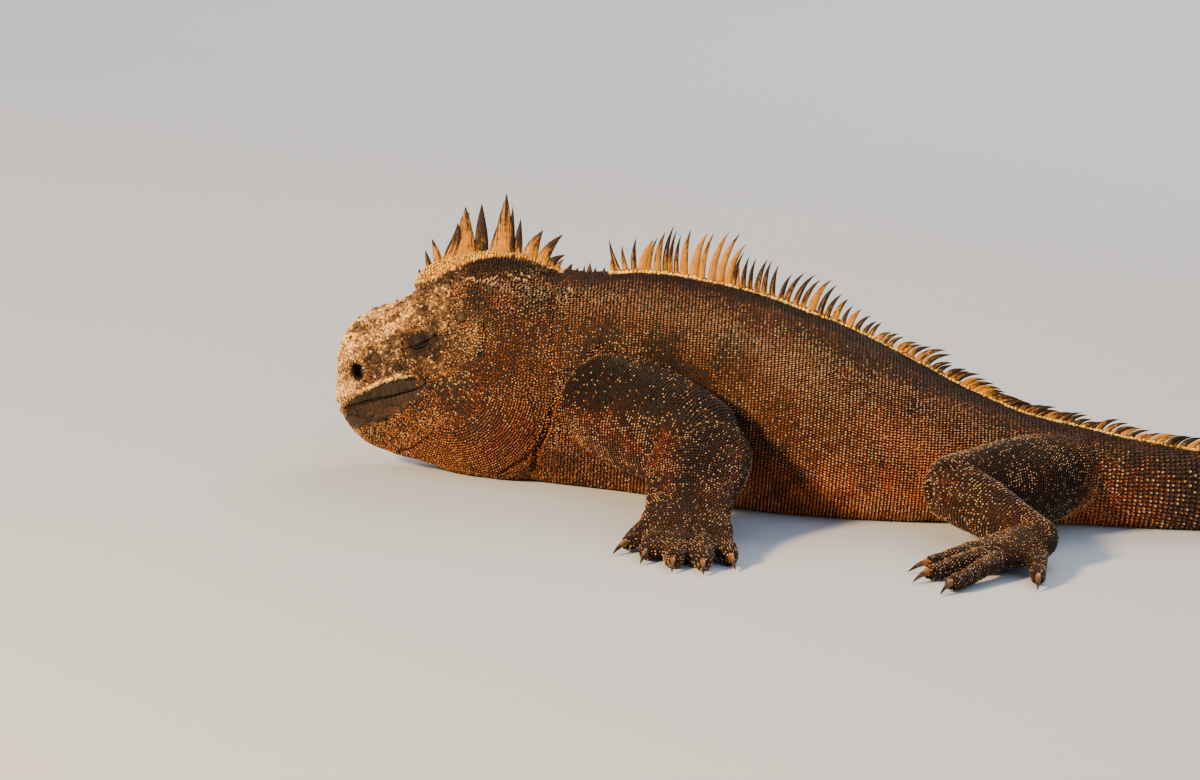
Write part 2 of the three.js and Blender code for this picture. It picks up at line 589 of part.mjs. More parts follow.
// Each limb: the rows of its upper and lower tubes and of its foot, the joints where it is
// parted, and a place inside each piece. side is 1 on the left and -1 on the right.
const LIMBS = {
  left_arm: {
    side: 1,
    names: ["upper_arm", "forearm", "hand"],
    upper: [
      { place: [-12, -20, 52], wide: 18, deep: 22 },
      { place: [8, -46, 47], wide: 21, deep: 27 },
      { place: [30, -66, 43], wide: 22.5, deep: 27.5 },
      { place: [48, -80, 40], wide: 23, deep: 24.5 },
      { place: [59, -88, 37], wide: 18, deep: 18.5 },
      { place: [65, -92, 36], wide: 7, deep: 8 },
    ],
    lower: [
      { place: [57, -76, 39], wide: 13, deep: 13 },
      { place: [54, -90, 36], wide: 23, deep: 19.5 },
      { place: [50, -108, 29.5], wide: 25, deep: 17 },
      { place: [48, -124, 23], wide: 23, deep: 13 },
      { place: [47, -138, 17.5], wide: 21, deep: 10.5 },
      { place: [46, -152, 13.5], wide: 22, deep: 9 },
      { place: [46, -165, 10.5], wide: 23.5, deep: 7.6 },
      { place: [46, -172, 9], wide: 20, deep: 6 },
      { place: [46, -176, 8.5], wide: 8, deep: 3 },
    ],
    digits: HAND_DIGITS,
    knuckles: [46, -168, 9],
    aim: [0, -1],
    joints: [
      { place: [55, -88, 36], square: [0.42, -0.9, 0] },
      { place: [47, -140, 17], square: [-0.05, -0.95, -0.28] },
    ],
    probes: [
      [30, -74, 43],
      [50, -112, 28],
      [46, -156, 12],
    ],
  },
  right_arm: {
    side: -1,
    names: ["upper_arm", "forearm", "hand"],
    upper: [
      { place: [-12, 20, 52], wide: 18, deep: 22 },
      { place: [6, 46, 46], wide: 21, deep: 27 },
      { place: [26, 68, 41], wide: 22, deep: 26 },
      { place: [40, 84, 36], wide: 21, deep: 22.5 },
      { place: [48, 93, 33], wide: 16, deep: 17 },
      { place: [52, 98, 32], wide: 6, deep: 7 },
    ],
    lower: [
      { place: [46, 82, 36], wide: 10, deep: 11 },
      { place: [40, 92, 33], wide: 20, deep: 18 },
      { place: [26, 106, 27], wide: 21.5, deep: 16 },
      { place: [12, 118, 21], wide: 20, deep: 12.5 },
      { place: [1, 127, 16.5], wide: 19, deep: 10 },
      { place: [-10, 135, 13], wide: 20.5, deep: 8.6 },
      { place: [-21, 143, 10.5], wide: 22.5, deep: 7.6 },
      { place: [-27, 147, 9], wide: 19, deep: 6 },
      { place: [-30, 149, 8.5], wide: 8, deep: 3 },
    ],
    digits: HAND_DIGITS,
    knuckles: [-23, 145, 9],
    aim: [-0.84, 0.54],
    joints: [
      { place: [43, 90, 33], square: [-0.12, 1, 0] },
      { place: [0, 128, 16], square: [-0.8, 0.56, -0.28] },
    ],
    probes: [
      [24, 74, 42],
      [20, 110, 25],
      [-12, 137, 12],
    ],
  },
  left_leg: {
    side: 1,
    names: ["thigh", "shin", "foot"],
    upper: [
      { place: [246, -12, 28], wide: 14, deep: 17 },
      { place: [224, -34, 26], wide: 19, deep: 22.5 },
      { place: [202, -58, 26], wide: 20, deep: 22 },
      { place: [182, -78, 26.5], wide: 17, deep: 18 },
      { place: [170, -88, 26.5], wide: 13, deep: 15 },
      { place: [163, -92, 26], wide: 5, deep: 6 },
    ],
    lower: [
      { place: [172, -80, 27], wide: 7, deep: 8 },
      { place: [178, -90, 25.5], wide: 14, deep: 15 },
      { place: [193, -102, 20.5], wide: 14, deep: 14 },
      { place: [208, -114, 15], wide: 11.5, deep: 11.5 },
      { place: [216, -121, 12.5], wide: 10.5, deep: 10 },
      { place: [221, -125, 12], wide: 5, deep: 5 },
    ],
    foot: [
      { place: [222, -114, 13], wide: 6, deep: 6 },
      { place: [217, -121, 12.5], wide: 11, deep: 10 },
      { place: [208, -133, 10.5], wide: 13, deep: 8.5 },
      { place: [198, -147, 9], wide: 16.5, deep: 7.6 },
      { place: [192, -155, 8.5], wide: 14, deep: 6 },
      { place: [190, -158, 8], wide: 5, deep: 2.5 },
    ],
    digits: FOOT_DIGITS,
    knuckles: [196, -150, 8.5],
    aim: [-0.6, -0.8],
    joints: [
      { place: [171, -87, 26], square: [0.05, -1, 0] },
      { place: [214, -124, 12], square: [-0.1, -1, 0] },
    ],
    probes: [
      [198, -62, 26],
      [193, -102, 20],
      [200, -144, 9],
    ],
  },
  right_leg: {
    side: -1,
    names: ["thigh", "shin", "foot"],
    upper: [
      { place: [246, 12, 28], wide: 14, deep: 17 },
      { place: [226, 34, 26], wide: 19, deep: 22.5 },
      { place: [207, 58, 26], wide: 20, deep: 22 },
      { place: [191, 79, 26], wide: 17, deep: 18 },
      { place: [182, 90, 26], wide: 13, deep: 15 },
      { place: [177, 95, 26], wide: 5, deep: 6 },
    ],
    lower: [
      { place: [182, 81, 27], wide: 7, deep: 8 },
      { place: [189, 91, 25.5], wide: 14, deep: 15 },
      { place: [205, 101, 20.5], wide: 14, deep: 14 },
      { place: [222, 110, 15], wide: 11.5, deep: 11.5 },
      { place: [231, 115, 12.5], wide: 10.5, deep: 10 },
      { place: [236, 118, 12], wide: 5, deep: 5 },
    ],
    foot: [
      { place: [233, 108, 13], wide: 6, deep: 6 },
      { place: [231, 116, 12.5], wide: 11, deep: 10 },
      { place: [227, 130, 10.5], wide: 13, deep: 8.5 },
      { place: [223, 146, 9], wide: 16.5, deep: 7.6 },
      { place: [221, 155, 8.5], wide: 14, deep: 6 },
      { place: [220, 158, 8], wide: 5, deep: 2.5 },
    ],
    digits: FOOT_DIGITS,
    knuckles: [222, 150, 8.5],
    aim: [-0.22, 0.97],
    joints: [
      { place: [184, 89, 26], square: [0, 1, 0] },
      { place: [230, 118, 12], square: [0.15, 1, 0] },
    ],
    probes: [
      [203, 62, 26],
      [205, 101, 20],
      [226, 140, 9],
    ],
  },
};

function partLimb(name, plan, body) {
  const tubes = [limb(plan.upper, 12, 8), limb(plan.lower, 12, plan.lower.length + 3)];
  if (plan.foot) tubes.push(limb(plan.foot, 9, 7));
  const fan = digits(plan.digits, plan.knuckles, plan.aim, plan.side);
  const whole = onFloor(joined([...tubes, fan])).subtract(body);
  const cuts = plan.joints.map((joint) => slab(joint.place, joint.square, 90));
  const pieces = whole.subtract(joined(cuts)).decompose();
  const prefix = name.split("_")[0];
  return Object.fromEntries(
    plan.names.map((part, i) => [`${prefix}_${part}`, pieceAt(pieces, plan.probes[i])]),
  );
}

// The colours of the animal.
function finish(color, roughness) {
  return new THREE.MeshStandardMaterial({ color, roughness, metalness: 0 });
}

const FINISHES = {
  head: finish("#6b5240", 0.8),
  jaw: finish("#5a3a22", 0.75),
  body: finish("#4a2c18", 0.7),
  tail: finish("#35241a", 0.7),
  limb: finish("#33261c", 0.75),
  eye: finish("#2a1408", 0.15),
};

function finishOf(name) {
  if (FINISHES[name]) return FINISHES[name];
  if (name.startsWith("tail")) return FINISHES.tail;
  if (name.startsWith("eye")) return FINISHES.eye;
  return name.includes("_") ? FINISHES.limb : FINISHES.body;
}

function toMesh(name, whole) {
  const made = whole.getMesh();
  const geometry = new THREE.BufferGeometry();
  const position = new THREE.BufferAttribute(new Float32Array(made.vertProperties), 3);
  geometry.setAttribute("position", position);
  geometry.setIndex(new THREE.BufferAttribute(new Uint32Array(made.triVerts), 1));
  geometry.computeVertexNormals();
  const mesh = new THREE.Mesh(geometry, finishOf(name));
  mesh.name = name;
  return mesh;
}

THREE.MathUtils.seededRandom(11);
const grownTrunk = trunk(GAP);
const parts = partTrunk();
for (const [name, plan] of Object.entries(LIMBS)) {
  Object.assign(parts, partLimb(name, plan, grownTrunk));
}
for (const [name, side] of [["eye_left", -1], ["eye_right", 1]]) {
  const radii = [EYE_RADIUS, EYE_RADIUS, EYE_RADIUS];
  parts[name] = ball([EYE.x, side * EYE.y, EYE.z], radii, 10);
}

const iguana = new THREE.Group();
for (const [name, whole] of Object.entries(parts)) iguana.add(toMesh(name, whole));

export default iguana;
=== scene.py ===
# %% [markdown]
# # A basking marine iguana
#
# This notebook dresses the solid model of a marine iguana: a heavy lizard that lies with its
# chin, chest and belly on the floor. The solids give the size, the pose and the place of every
# part. Here they get one seamless skin, tens of thousands of small scales as real mesh, a crest
# of horny spines, lids, lips, eyes and claws. Lengths are in millimetres until a mesh is made.

# %% The frame
import math

import bmesh
import bpy
import numpy as np
from mathutils import Matrix, Vector
from mathutils.bvhtree import BVHTree
from mathutils.kdtree import KDTree


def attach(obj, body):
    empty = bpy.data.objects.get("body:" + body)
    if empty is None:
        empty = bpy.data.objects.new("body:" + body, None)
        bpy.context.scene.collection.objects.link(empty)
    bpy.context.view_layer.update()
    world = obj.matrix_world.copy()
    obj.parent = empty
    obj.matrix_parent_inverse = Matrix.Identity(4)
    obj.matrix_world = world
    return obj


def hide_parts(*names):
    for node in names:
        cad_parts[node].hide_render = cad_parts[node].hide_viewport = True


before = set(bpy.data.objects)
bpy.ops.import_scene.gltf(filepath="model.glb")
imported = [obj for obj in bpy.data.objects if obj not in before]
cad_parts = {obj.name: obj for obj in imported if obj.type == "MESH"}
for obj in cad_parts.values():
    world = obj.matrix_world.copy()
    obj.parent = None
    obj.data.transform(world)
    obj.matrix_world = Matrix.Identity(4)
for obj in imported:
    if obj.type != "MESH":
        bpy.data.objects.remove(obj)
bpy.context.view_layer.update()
MM = 0.001
draw = np.random.default_rng(7)

# %% [markdown]
# ## Camera
# The photo was taken from the animal's left with a long lens, a little from above, and the
# ground dips to the right in it. So the camera stands 3.4 m away, ten degrees up, and is
# rolled by four and a half degrees. Twelve hundred pixels span 600 mm at the animal.

# %% Camera
CAMERA_TARGET = Vector((0, 0, 46.7)) * MM
CAMERA_DISTANCE = 3.4
CAMERA_ELEVATION = math.radians(10)
CAMERA_ROLL = math.radians(4.5)
FRAME_WIDTH = 0.6


def make_camera():
    back = Vector((0, -math.cos(CAMERA_ELEVATION), math.sin(CAMERA_ELEVATION)))
    level = Vector((1, 0, 0))
    upright = back.cross(level)
    right = level * math.cos(CAMERA_ROLL) + upright * math.sin(CAMERA_ROLL)
    up = back.cross(right)
    data = bpy.data.cameras.new("camera")
    data.lens = data.sensor_width * CAMERA_DISTANCE / FRAME_WIDTH
    data.clip_end = 60
    camera = bpy.data.objects.new("camera", data)
    turn = Matrix((right, up, back)).transposed().to_4x4()
    camera.matrix_world = Matrix.Translation(CAMERA_TARGET + back * CAMERA_DISTANCE) @ turn
    bpy.context.scene.collection.objects.link(camera)
    bpy.context.scene.camera = camera


make_camera()

# %% [markdown]
# ## Small helpers
# Colours are written as the hex values a painter would pick, which are sRGB, while the
# renderer works with linear light. One function converts them. Another adds a shader or
# geometry node with its settings and links in one line.


# %% Colours and nodes
def linear(code):
    channels = [int(code[i : i + 2], 16) / 255 for i in (1, 3, 5)]
    bent = [c / 12.92 if c <= 0.04045 else ((c + 0.055) / 1.055) ** 2.4 for c in channels]
    return (*bent, 1)


def add(tree, kind, inputs=None, **settings):
    node = tree.nodes.new(kind)
    for name, value in settings.items():
        setattr(node, name, value)
    for name, value in (inputs or {}).items():
        if isinstance(value, bpy.types.NodeSocket):
            tree.links.new(value, node.inputs[name])
        else:
            node.inputs[name].default_value = value
    return node


# %% [markdown]
# Forms are worked out as arrays of places in millimetres, because sums over thousands of
# places are quick that way. These helpers turn them into meshes and back, and write the
# values that a material or a node tree reads.

# %% Meshes
def show(mesh, name, material=None):
    thing = bpy.data.objects.new(name, mesh)
    bpy.context.scene.collection.objects.link(thing)
    if material:
        mesh.materials.clear()
        mesh.materials.append(material)
    return thing


def mesh_of(name, points, faces):
    """A mesh from an array of points in millimetres and lists of corners."""
    mesh = bpy.data.meshes.new(name)
    mesh.from_pydata((np.asarray(points) * MM).tolist(), [], faces)
    mesh.update()
    return mesh


def points_of(mesh):
    flat = np.empty(len(mesh.vertices) * 3)
    mesh.vertices.foreach_get("co", flat)
    return flat.reshape(-1, 3) / MM


def normals_of(mesh):
    flat = np.empty(len(mesh.vertices) * 3, dtype=np.float32)
    mesh.vertex_normals.foreach_get("vector", flat)
    return flat.reshape(-1, 3).astype(float)


def move_points(mesh, points):
    mesh.vertices.foreach_set("co", (points * MM).ravel())
    mesh.update()


def write(mesh, name, values, kind):
    """Writes a value for each point: FLOAT, INT, FLOAT_VECTOR or FLOAT_COLOR."""
    attribute = mesh.attributes.new(name, kind, "POINT")
    key = {"FLOAT": "value", "INT": "value", "FLOAT_COLOR": "color"}.get(kind, "vector")
    number = np.int32 if kind == "INT" else np.float32
    attribute.data.foreach_set(key, np.asarray(values, dtype=number).ravel())


# %% [markdown]
# ## The body's form
# The trunk is a loft through the same cross-sections as the solids, 0.5 mm smaller all round,
# so that the scales fill the space up to the solids' surface. Each section has a top, a bottom,
# a half-width and a height at which it is widest. A smooth curve through them gives the rest.

# %% Sections of the trunk
VENT = 262
TAIL_LENGTH = 560
TAIL_SWING = math.radians(34)
TAIL_WAVES = 0.775
COAT = 0.5
# Powers of a circle's sine and cosine: below 1 they square a section up a little.
ROUND_SIDE, ROUND_TOP, ROUND_BELLY = 0.95, 0.98, 0.85
SECTIONS = np.array(
    [
        # at, top, bottom, half-width, height where widest
        (-131.4, 52, 38, 4, 45),
        (-130.2, 61, 31, 10, 46),
        (-127, 68, 24, 15, 45),
        (-121.5, 74.5, 16.5, 18.5, 44),
        (-113, 80, 10.5, 21.5, 42),
        (-103, 84, 7.5, 24.5, 41),
        (-93, 90.5, 5.5, 27.5, 40),
        (-81, 99.5, 3, 31, 38),
        (-66, 105.5, -0.5, 34.5, 36),
        (-48, 108, -2, 36.5, 38),
        (-28, 107, -1.5, 38.5, 42),
        (-6, 106.5, -2.5, 42.5, 45),
        (18, 109, -4, 49, 44),
        (46, 107, -8, 58, 40),
        (76, 102, -10, 66.5, 37),
        (106, 94, -10, 70, 34),
        (136, 83, -9, 67, 31),
        (166, 70, -7, 58, 28),
        (194, 58.5, -5, 47, 25.5),
        (220, 51, -3, 38, 24),
        (246, 47, -2, 31, 23),
        (274, 43, -1.5, 24, 22),
        (312, 38.5, -1.2, 17.5, 20),
        (370, 33, -1, 12, 17),
        (450, 28, -0.8, 9, 14),
        (540, 22.5, -0.6, 7, 11),
        (630, 17, -0.5, 5.2, 8.5),
        (715, 12, -0.4, 3.7, 6),
        (785, 7.5, -0.3, 2.4, 3.8),
        (VENT + TAIL_LENGTH, 3.2, -0.2, 1.1, 1.6),
    ]
)
SWELLINGS = [
    # name, place (x, |y|, z), reach along each axis, rise
    ("jowl", (-68, 34, 30), (15, 22, 15), 3.6),
    ("brow", (-94, 19, 77), (13, 9, 6), 2.4),
    ("temple", (-74, 26, 76), (12, 14, 9), 2),
    ("cheek hollow", (-84, 28, 58), (9, 12, 7), -1.6),
    ("muzzle", (-117, 17, 34), (11, 9, 8), 1.6),
    ("throat fold", (-30, 34, 22), (6, 26, 28), -3),
    ("nape furrow", (-56, 9, 104), (36, 6, 9), -2.6),
    ("shoulder blade", (8, 36, 82), (26, 20, 17), 4),
    ("rump", (226, 24, 40), (24, 16, 12), 2.5),
]


def smooth_rows(rows, share):
    """Points on a smooth curve through rows, at shares of its length from 0 to 1."""
    rows = np.asarray(rows, dtype=float)
    ends = np.vstack([2 * rows[0] - rows[1], rows, 2 * rows[-1] - rows[-2]])
    spot = np.clip(np.atleast_1d(share), 0, 1) * (len(rows) - 1)
    i = np.minimum(spot.astype(int), len(rows) - 2)
    t = (spot - i)[:, None]
    a, b, c, d = (ends[i + k] for k in range(4))
    bend = (2 * a - 5 * b + 4 * c - d) * t**2 + (3 * b - a - 3 * c + d) * t**3
    return 0.5 * (2 * b + (c - a) * t + bend)


def heading(at):
    """The way the body runs at a place along it: straight to the vent, then in one slow bend."""
    along = np.maximum(0, (np.asarray(at, dtype=float) - VENT) / TAIL_LENGTH)
    return TAIL_SWING * np.sin(2 * math.pi * TAIL_WAVES * along)


PATH_STEP = 4.0
PATH_AT = np.arange(VENT, VENT + TAIL_LENGTH + 12, PATH_STEP)
PATH_TURNS = heading(PATH_AT + PATH_STEP / 2)
PATH_STEPS = PATH_STEP * np.column_stack([np.cos(PATH_TURNS), np.sin(PATH_TURNS)])
PATH = np.vstack([(VENT, 0), (VENT, 0) + np.cumsum(PATH_STEPS[:-1], axis=0)])
SHARES = np.linspace(0, 1, 4001)
OUTLINE = smooth_rows(SECTIONS, SHARES)


def midline(at):
    at = np.asarray(at, dtype=float)
    x = np.where(at < VENT, at, np.interp(at, PATH_AT, PATH[:, 0]))
    y = np.where(at < VENT, 0, np.interp(at, PATH_AT, PATH[:, 1]))
    return np.stack([x, y], axis=-1)


def share_at(at):
    return np.interp(at, OUTLINE[:, 0], SHARES)


def top_at(at):
    return np.interp(at, OUTLINE[:, 0], OUTLINE[:, 1])


def bulge(value, power):
    return np.sign(value) * np.abs(value) ** power


def trunk_point(share, angle):
    """Places on the trunk; angle is 0 on the right side and a quarter turn at the top."""
    at, top, bottom, half, widest = smooth_rows(SECTIONS, share).T
    across = bulge(np.cos(angle), ROUND_SIDE) * (half - COAT)
    upper = np.sin(angle) > 0
    rise = np.where(upper, top - widest, widest - bottom) - COAT
    up = bulge(np.sin(angle), np.where(upper, ROUND_TOP, ROUND_BELLY)) * rise
    away = np.stack([across, up]) / (np.hypot(across, up) + 1e-9)
    push = np.zeros_like(across)
    for _, place, reach, height in SWELLINGS:
        offset = [
            (at - place[0]) / reach[0],
            (np.abs(across) - place[1]) / reach[1],
            (widest + up - place[2]) / reach[2],
        ]
        push += height * np.exp(-sum(o**2 for o in offset))
    across = across + away[0] * push
    up = up + away[1] * push
    centre = midline(at)
    turn = heading(at)
    return np.stack(
        [centre[:, 0] - np.sin(turn) * across, centre[:, 1] + np.cos(turn) * across, widest + up],
        axis=-1,
    )


# %% [markdown]
# Legs, arms and digits are tubes through a few rows of a place and two radii, one level and
# one upright, as in the solids.

# %% Tubes
def limb_point(rows, share, angle, grow=-COAT):
    """Places on a tube through rows of (x, y, z, level radius, upright radius)."""
    rows = np.asarray(rows, dtype=float)
    share = np.atleast_1d(np.asarray(share, dtype=float))
    along = smooth_rows(rows, share + 1e-3)[:, :3] - smooth_rows(rows, share - 1e-3)[:, :3]
    along /= np.linalg.norm(along, axis=1, keepdims=True)
    side = np.cross((0, 0, 1), along)
    side /= np.linalg.norm(side, axis=1, keepdims=True)
    upright = np.cross(along, side)
    spot = smooth_rows(rows, share)
    radii = np.maximum(spot[:, 3:] + grow, 0.2)
    level = (np.cos(angle) * radii[:, 0])[:, None] * side
    return spot[:, :3] + level + (np.sin(angle) * radii[:, 1])[:, None] * upright


def wall(sides, steps, base=0):
    """The corners of each quad between rings of points: two below, two above, in turn."""
    for i, j in np.ndindex(steps, sides):
        a, b = base + i * sides + j, base + i * sides + (j + 1) % sides
        yield a, b, b + sides, a + sides


def tube(place, sides, steps):
    """Points and faces of a closed tube; place takes shares and angles."""
    share, angle = np.meshgrid(
        np.linspace(0, 1, steps + 1), np.arange(sides) * 2 * math.pi / sides, indexing="ij"
    )
    points = place(share.ravel(), angle.ravel())
    rings = points.reshape(steps + 1, sides, 3)
    points = np.vstack([points, rings[0].mean(axis=0), rings[-1].mean(axis=0)])
    faces = [(a, d, c, b) for a, b, c, d in wall(sides, steps)]
    first, last = len(points) - 2, len(points) - 1
    for j in range(sides):
        k = (j + 1) % sides
        faces.append((j, k, first))
        faces.append((steps * sides + k, steps * sides + j, last))
    return points, faces


def join_shells(shells):
    points, faces, base = [], [], 0
    for shell_points, shell_faces in shells:
        points.append(shell_points)
        faces += [tuple(c + base for c in face) for face in shell_faces]
        base += len(shell_points)
    return np.vstack(points), faces


# %% [markdown]
# Each limb is a few overlapping tubes, whose rows hug the solids' limbs, and five digits
# that fan out from the knuckles. The left arm's place comes from the photo. The hidden
# limbs lie as a resting marine iguana's do: elbows and knees out, soles down, toes spread.

# %% Limbs
HAND_DIGITS = [
    # offset towards the inner side, how far back it starts, fan in degrees, length, radius
    (18, 11, 30, 20, 5.4),
    (13, 1, 12, 25, 5.8),
    (4, -1, 2, 36, 6.1),
    (-7.5, -1, -2, 36, 6.1),
    (-16.5, 5, -12, 26, 5.8),
]
FOOT_DIGITS = [
    (12.5, 8, 30, 20, 4.8),
    (9.5, 1, 15, 34, 5.1),
    (1.5, -1, 4, 49, 5.2),
    (-6.5, 0, -9, 62, 5.2),
    (-12, 18, -34, 36, 4.9),
]
LIMBS = {
    # side is 1 for left and -1 for right; the digits fan out from the knuckles, along aim
    "left_arm": {
        "side": 1,
        "tubes": [
            [
                (-12, -20, 52, 18, 22), (8, -46, 47, 21, 27), (30, -66, 43, 22.5, 27.5),
                (48, -80, 40, 23, 24.5), (59, -88, 37, 18, 18.5), (65, -92, 36, 7, 8),
            ],
            [
                (57, -76, 39, 13, 13), (54, -90, 36, 23, 19.5), (50, -108, 29.5, 25, 17),
                (48, -124, 23, 23, 13), (47, -138, 17.5, 21, 10.5), (46, -152, 13.5, 22, 9),
                (46, -165, 10.5, 23.5, 7.6), (46, -172, 9, 20, 6), (46, -176, 8.5, 8, 3),
            ],
        ],
        "digits": HAND_DIGITS,
        "knuckles": (46, -168, 9),
        "aim": (0, -1),
    },
    "right_arm": {
        "side": -1,
        "tubes": [
            [
                (-12, 20, 52, 18, 22), (6, 46, 46, 21, 27), (26, 68, 41, 22, 26),
                (40, 84, 36, 21, 22.5), (48, 93, 33, 16, 17), (52, 98, 32, 6, 7),
            ],
            [
                (46, 82, 36, 10, 11), (40, 92, 33, 20, 18), (26, 106, 27, 21.5, 16),
                (12, 118, 21, 20, 12.5), (1, 127, 16.5, 19, 10), (-10, 135, 13, 20.5, 8.6),
                (-21, 143, 10.5, 22.5, 7.6), (-27, 147, 9, 19, 6), (-30, 149, 8.5, 8, 3),
            ],
        ],
        "digits": HAND_DIGITS,
        "knuckles": (-23, 145, 9),
        "aim": (-0.84, 0.54),
    },
    "left_leg": {
        "side": 1,
        "tubes": [
            [
                (246, -12, 28, 14, 17), (224, -34, 26, 19, 22.5), (202, -58, 26, 20, 22),
                (182, -78, 26.5, 17, 18), (170, -88, 26.5, 13, 15), (163, -92, 26, 5, 6),
            ],
            [
                (172, -80, 27, 7, 8), (178, -90, 25.5, 14, 15), (193, -102, 20.5, 14, 14),
                (208, -114, 15, 11.5, 11.5), (216, -121, 12.5, 10.5, 10), (221, -125, 12, 5, 5),
            ],
            [
                (222, -114, 13, 6, 6), (217, -121, 12.5, 11, 10), (208, -133, 10.5, 13, 8.5),
                (198, -147, 9, 16.5, 7.6), (192, -155, 8.5, 14, 6), (190, -158, 8, 5, 2.5),
            ],
        ],
        "digits": FOOT_DIGITS,
        "knuckles": (196, -150, 8.5),
        "aim": (-0.6, -0.8),
    },
    "right_leg": {
        "side": -1,
        "tubes": [
            [
                (246, 12, 28, 14, 17), (226, 34, 26, 19, 22.5), (207, 58, 26, 20, 22),
                (191, 79, 26, 17, 18), (182, 90, 26, 13, 15), (177, 95, 26, 5, 6),
            ],
            [
                (182, 81, 27, 7, 8), (189, 91, 25.5, 14, 15), (205, 101, 20.5, 14, 14),
                (222, 110, 15, 11.5, 11.5), (231, 115, 12.5, 10.5, 10), (236, 118, 12, 5, 5),
            ],
            [
                (233, 108, 13, 6, 6), (231, 116, 12.5, 11, 10), (227, 130, 10.5, 13, 8.5),
                (223, 146, 9, 16.5, 7.6), (221, 155, 8.5, 14, 6), (220, 158, 8, 5, 2.5),
            ],
        ],
        "digits": FOOT_DIGITS,
        "knuckles": (222, 150, 8.5),
        "aim": (-0.22, 0.97),
    },
}


def digit_rows(plan):
    """For each digit of a foot, its direction, its length and the rows of its tube."""
    ahead = np.array(plan["aim"], dtype=float)
    ahead /= np.linalg.norm(ahead)
    inner = np.array([ahead[1], -ahead[0]]) * plan["side"]
    knuckle = np.array(plan["knuckles"], dtype=float)
    for across, back, fan, length, radius in plan["digits"]:
        start = knuckle[:2] + inner * across - ahead * back
        turn = math.radians(fan)
        direction = ahead * math.cos(turn) + inner * math.sin(turn)
        profile = [
            (-6, knuckle[2] - 0.5, 0.8, 0.7),
            (0, knuckle[2], 1, 0.95),
            (length * 0.4, 7.4, 0.98, 1),
            (length * 0.75, 5, 0.9, 0.98),
            (length, 4.1, 0.72, 0.8),
            (length + 2, 4, 0.25, 0.3),
        ]
        rows = [(*(start + direction * s), z, radius * a, radius * b) for s, z, a, b in profile]
        yield start, direction, length, np.array(rows)


# %% [markdown]
# ## One skin
# The tubes overlap where they join. A voxel remesh fuses them into a single closed skin of
# even quads, and a little smoothing rounds the joints as muscle and loose skin do. Then the
# head is divided more finely, because the lids, lips and nostrils need it.

# %% The skin's base form
VOXEL = 2.5
NAPE_RIDGE = [
    # x, y, z, half-width, half-height of the fleshy ridge under the tall spines
    (-96.5, 0, 94.4, 1.2, 1.2),
    (-94.5, 0, 94.6, 3.4, 3.2),
    (-90, 0, 96.6, 4.4, 4.8),
    (-84, 0, 100.6, 4.6, 5.2),
    (-76, 0, 104, 4.6, 4.8),
    (-64, 0, 108, 4.4, 4.6),
    (-50, 0, 109.4, 4.2, 4.2),
    (-38, 0, 108, 3.6, 3.6),
    (-28, 0, 105.4, 2.6, 2.2),
    (-22, 0, 104.6, 1.2, 1.2),
]


def fused_skin():
    shells = [tube(trunk_point, 96, 420)]
    shells.append(tube(lambda s, a: limb_point(NAPE_RIDGE, s, a, 0), 24, 60))
    for plan in LIMBS.values():
        for rows in plan["tubes"]:
            shells.append(tube(lambda s, a, r=rows: limb_point(r, s, a), 40, 48))
        for _, _, _, rows in digit_rows(plan):
            shells.append(tube(lambda s, a, r=rows: limb_point(r, s, a), 20, 30))
    thing = show(mesh_of("shells", *join_shells(shells)), "shells")
    remesh = thing.modifiers.new("remesh", "REMESH")
    remesh.mode = "VOXEL"
    remesh.voxel_size = VOXEL * MM
    soften = thing.modifiers.new("soften", "SMOOTH")
    soften.iterations = 4
    soften.factor = 0.5
    done = bpy.data.meshes.new_from_object(
        thing.evaluated_get(bpy.context.evaluated_depsgraph_get())
    )
    bpy.data.objects.remove(thing)
    return done


skin_mesh = fused_skin()
print("skin faces:", len(skin_mesh.polygons))

# %% [markdown]
# The lids, lips, nostrils and the creases of the throat are only one or two millimetres deep.
# They are pressed into the skin as grooves and rolls along lines read in the side view. The
# mesh is first cut finer round them, in up to three steps, down to 0.3 mm at the eyes.

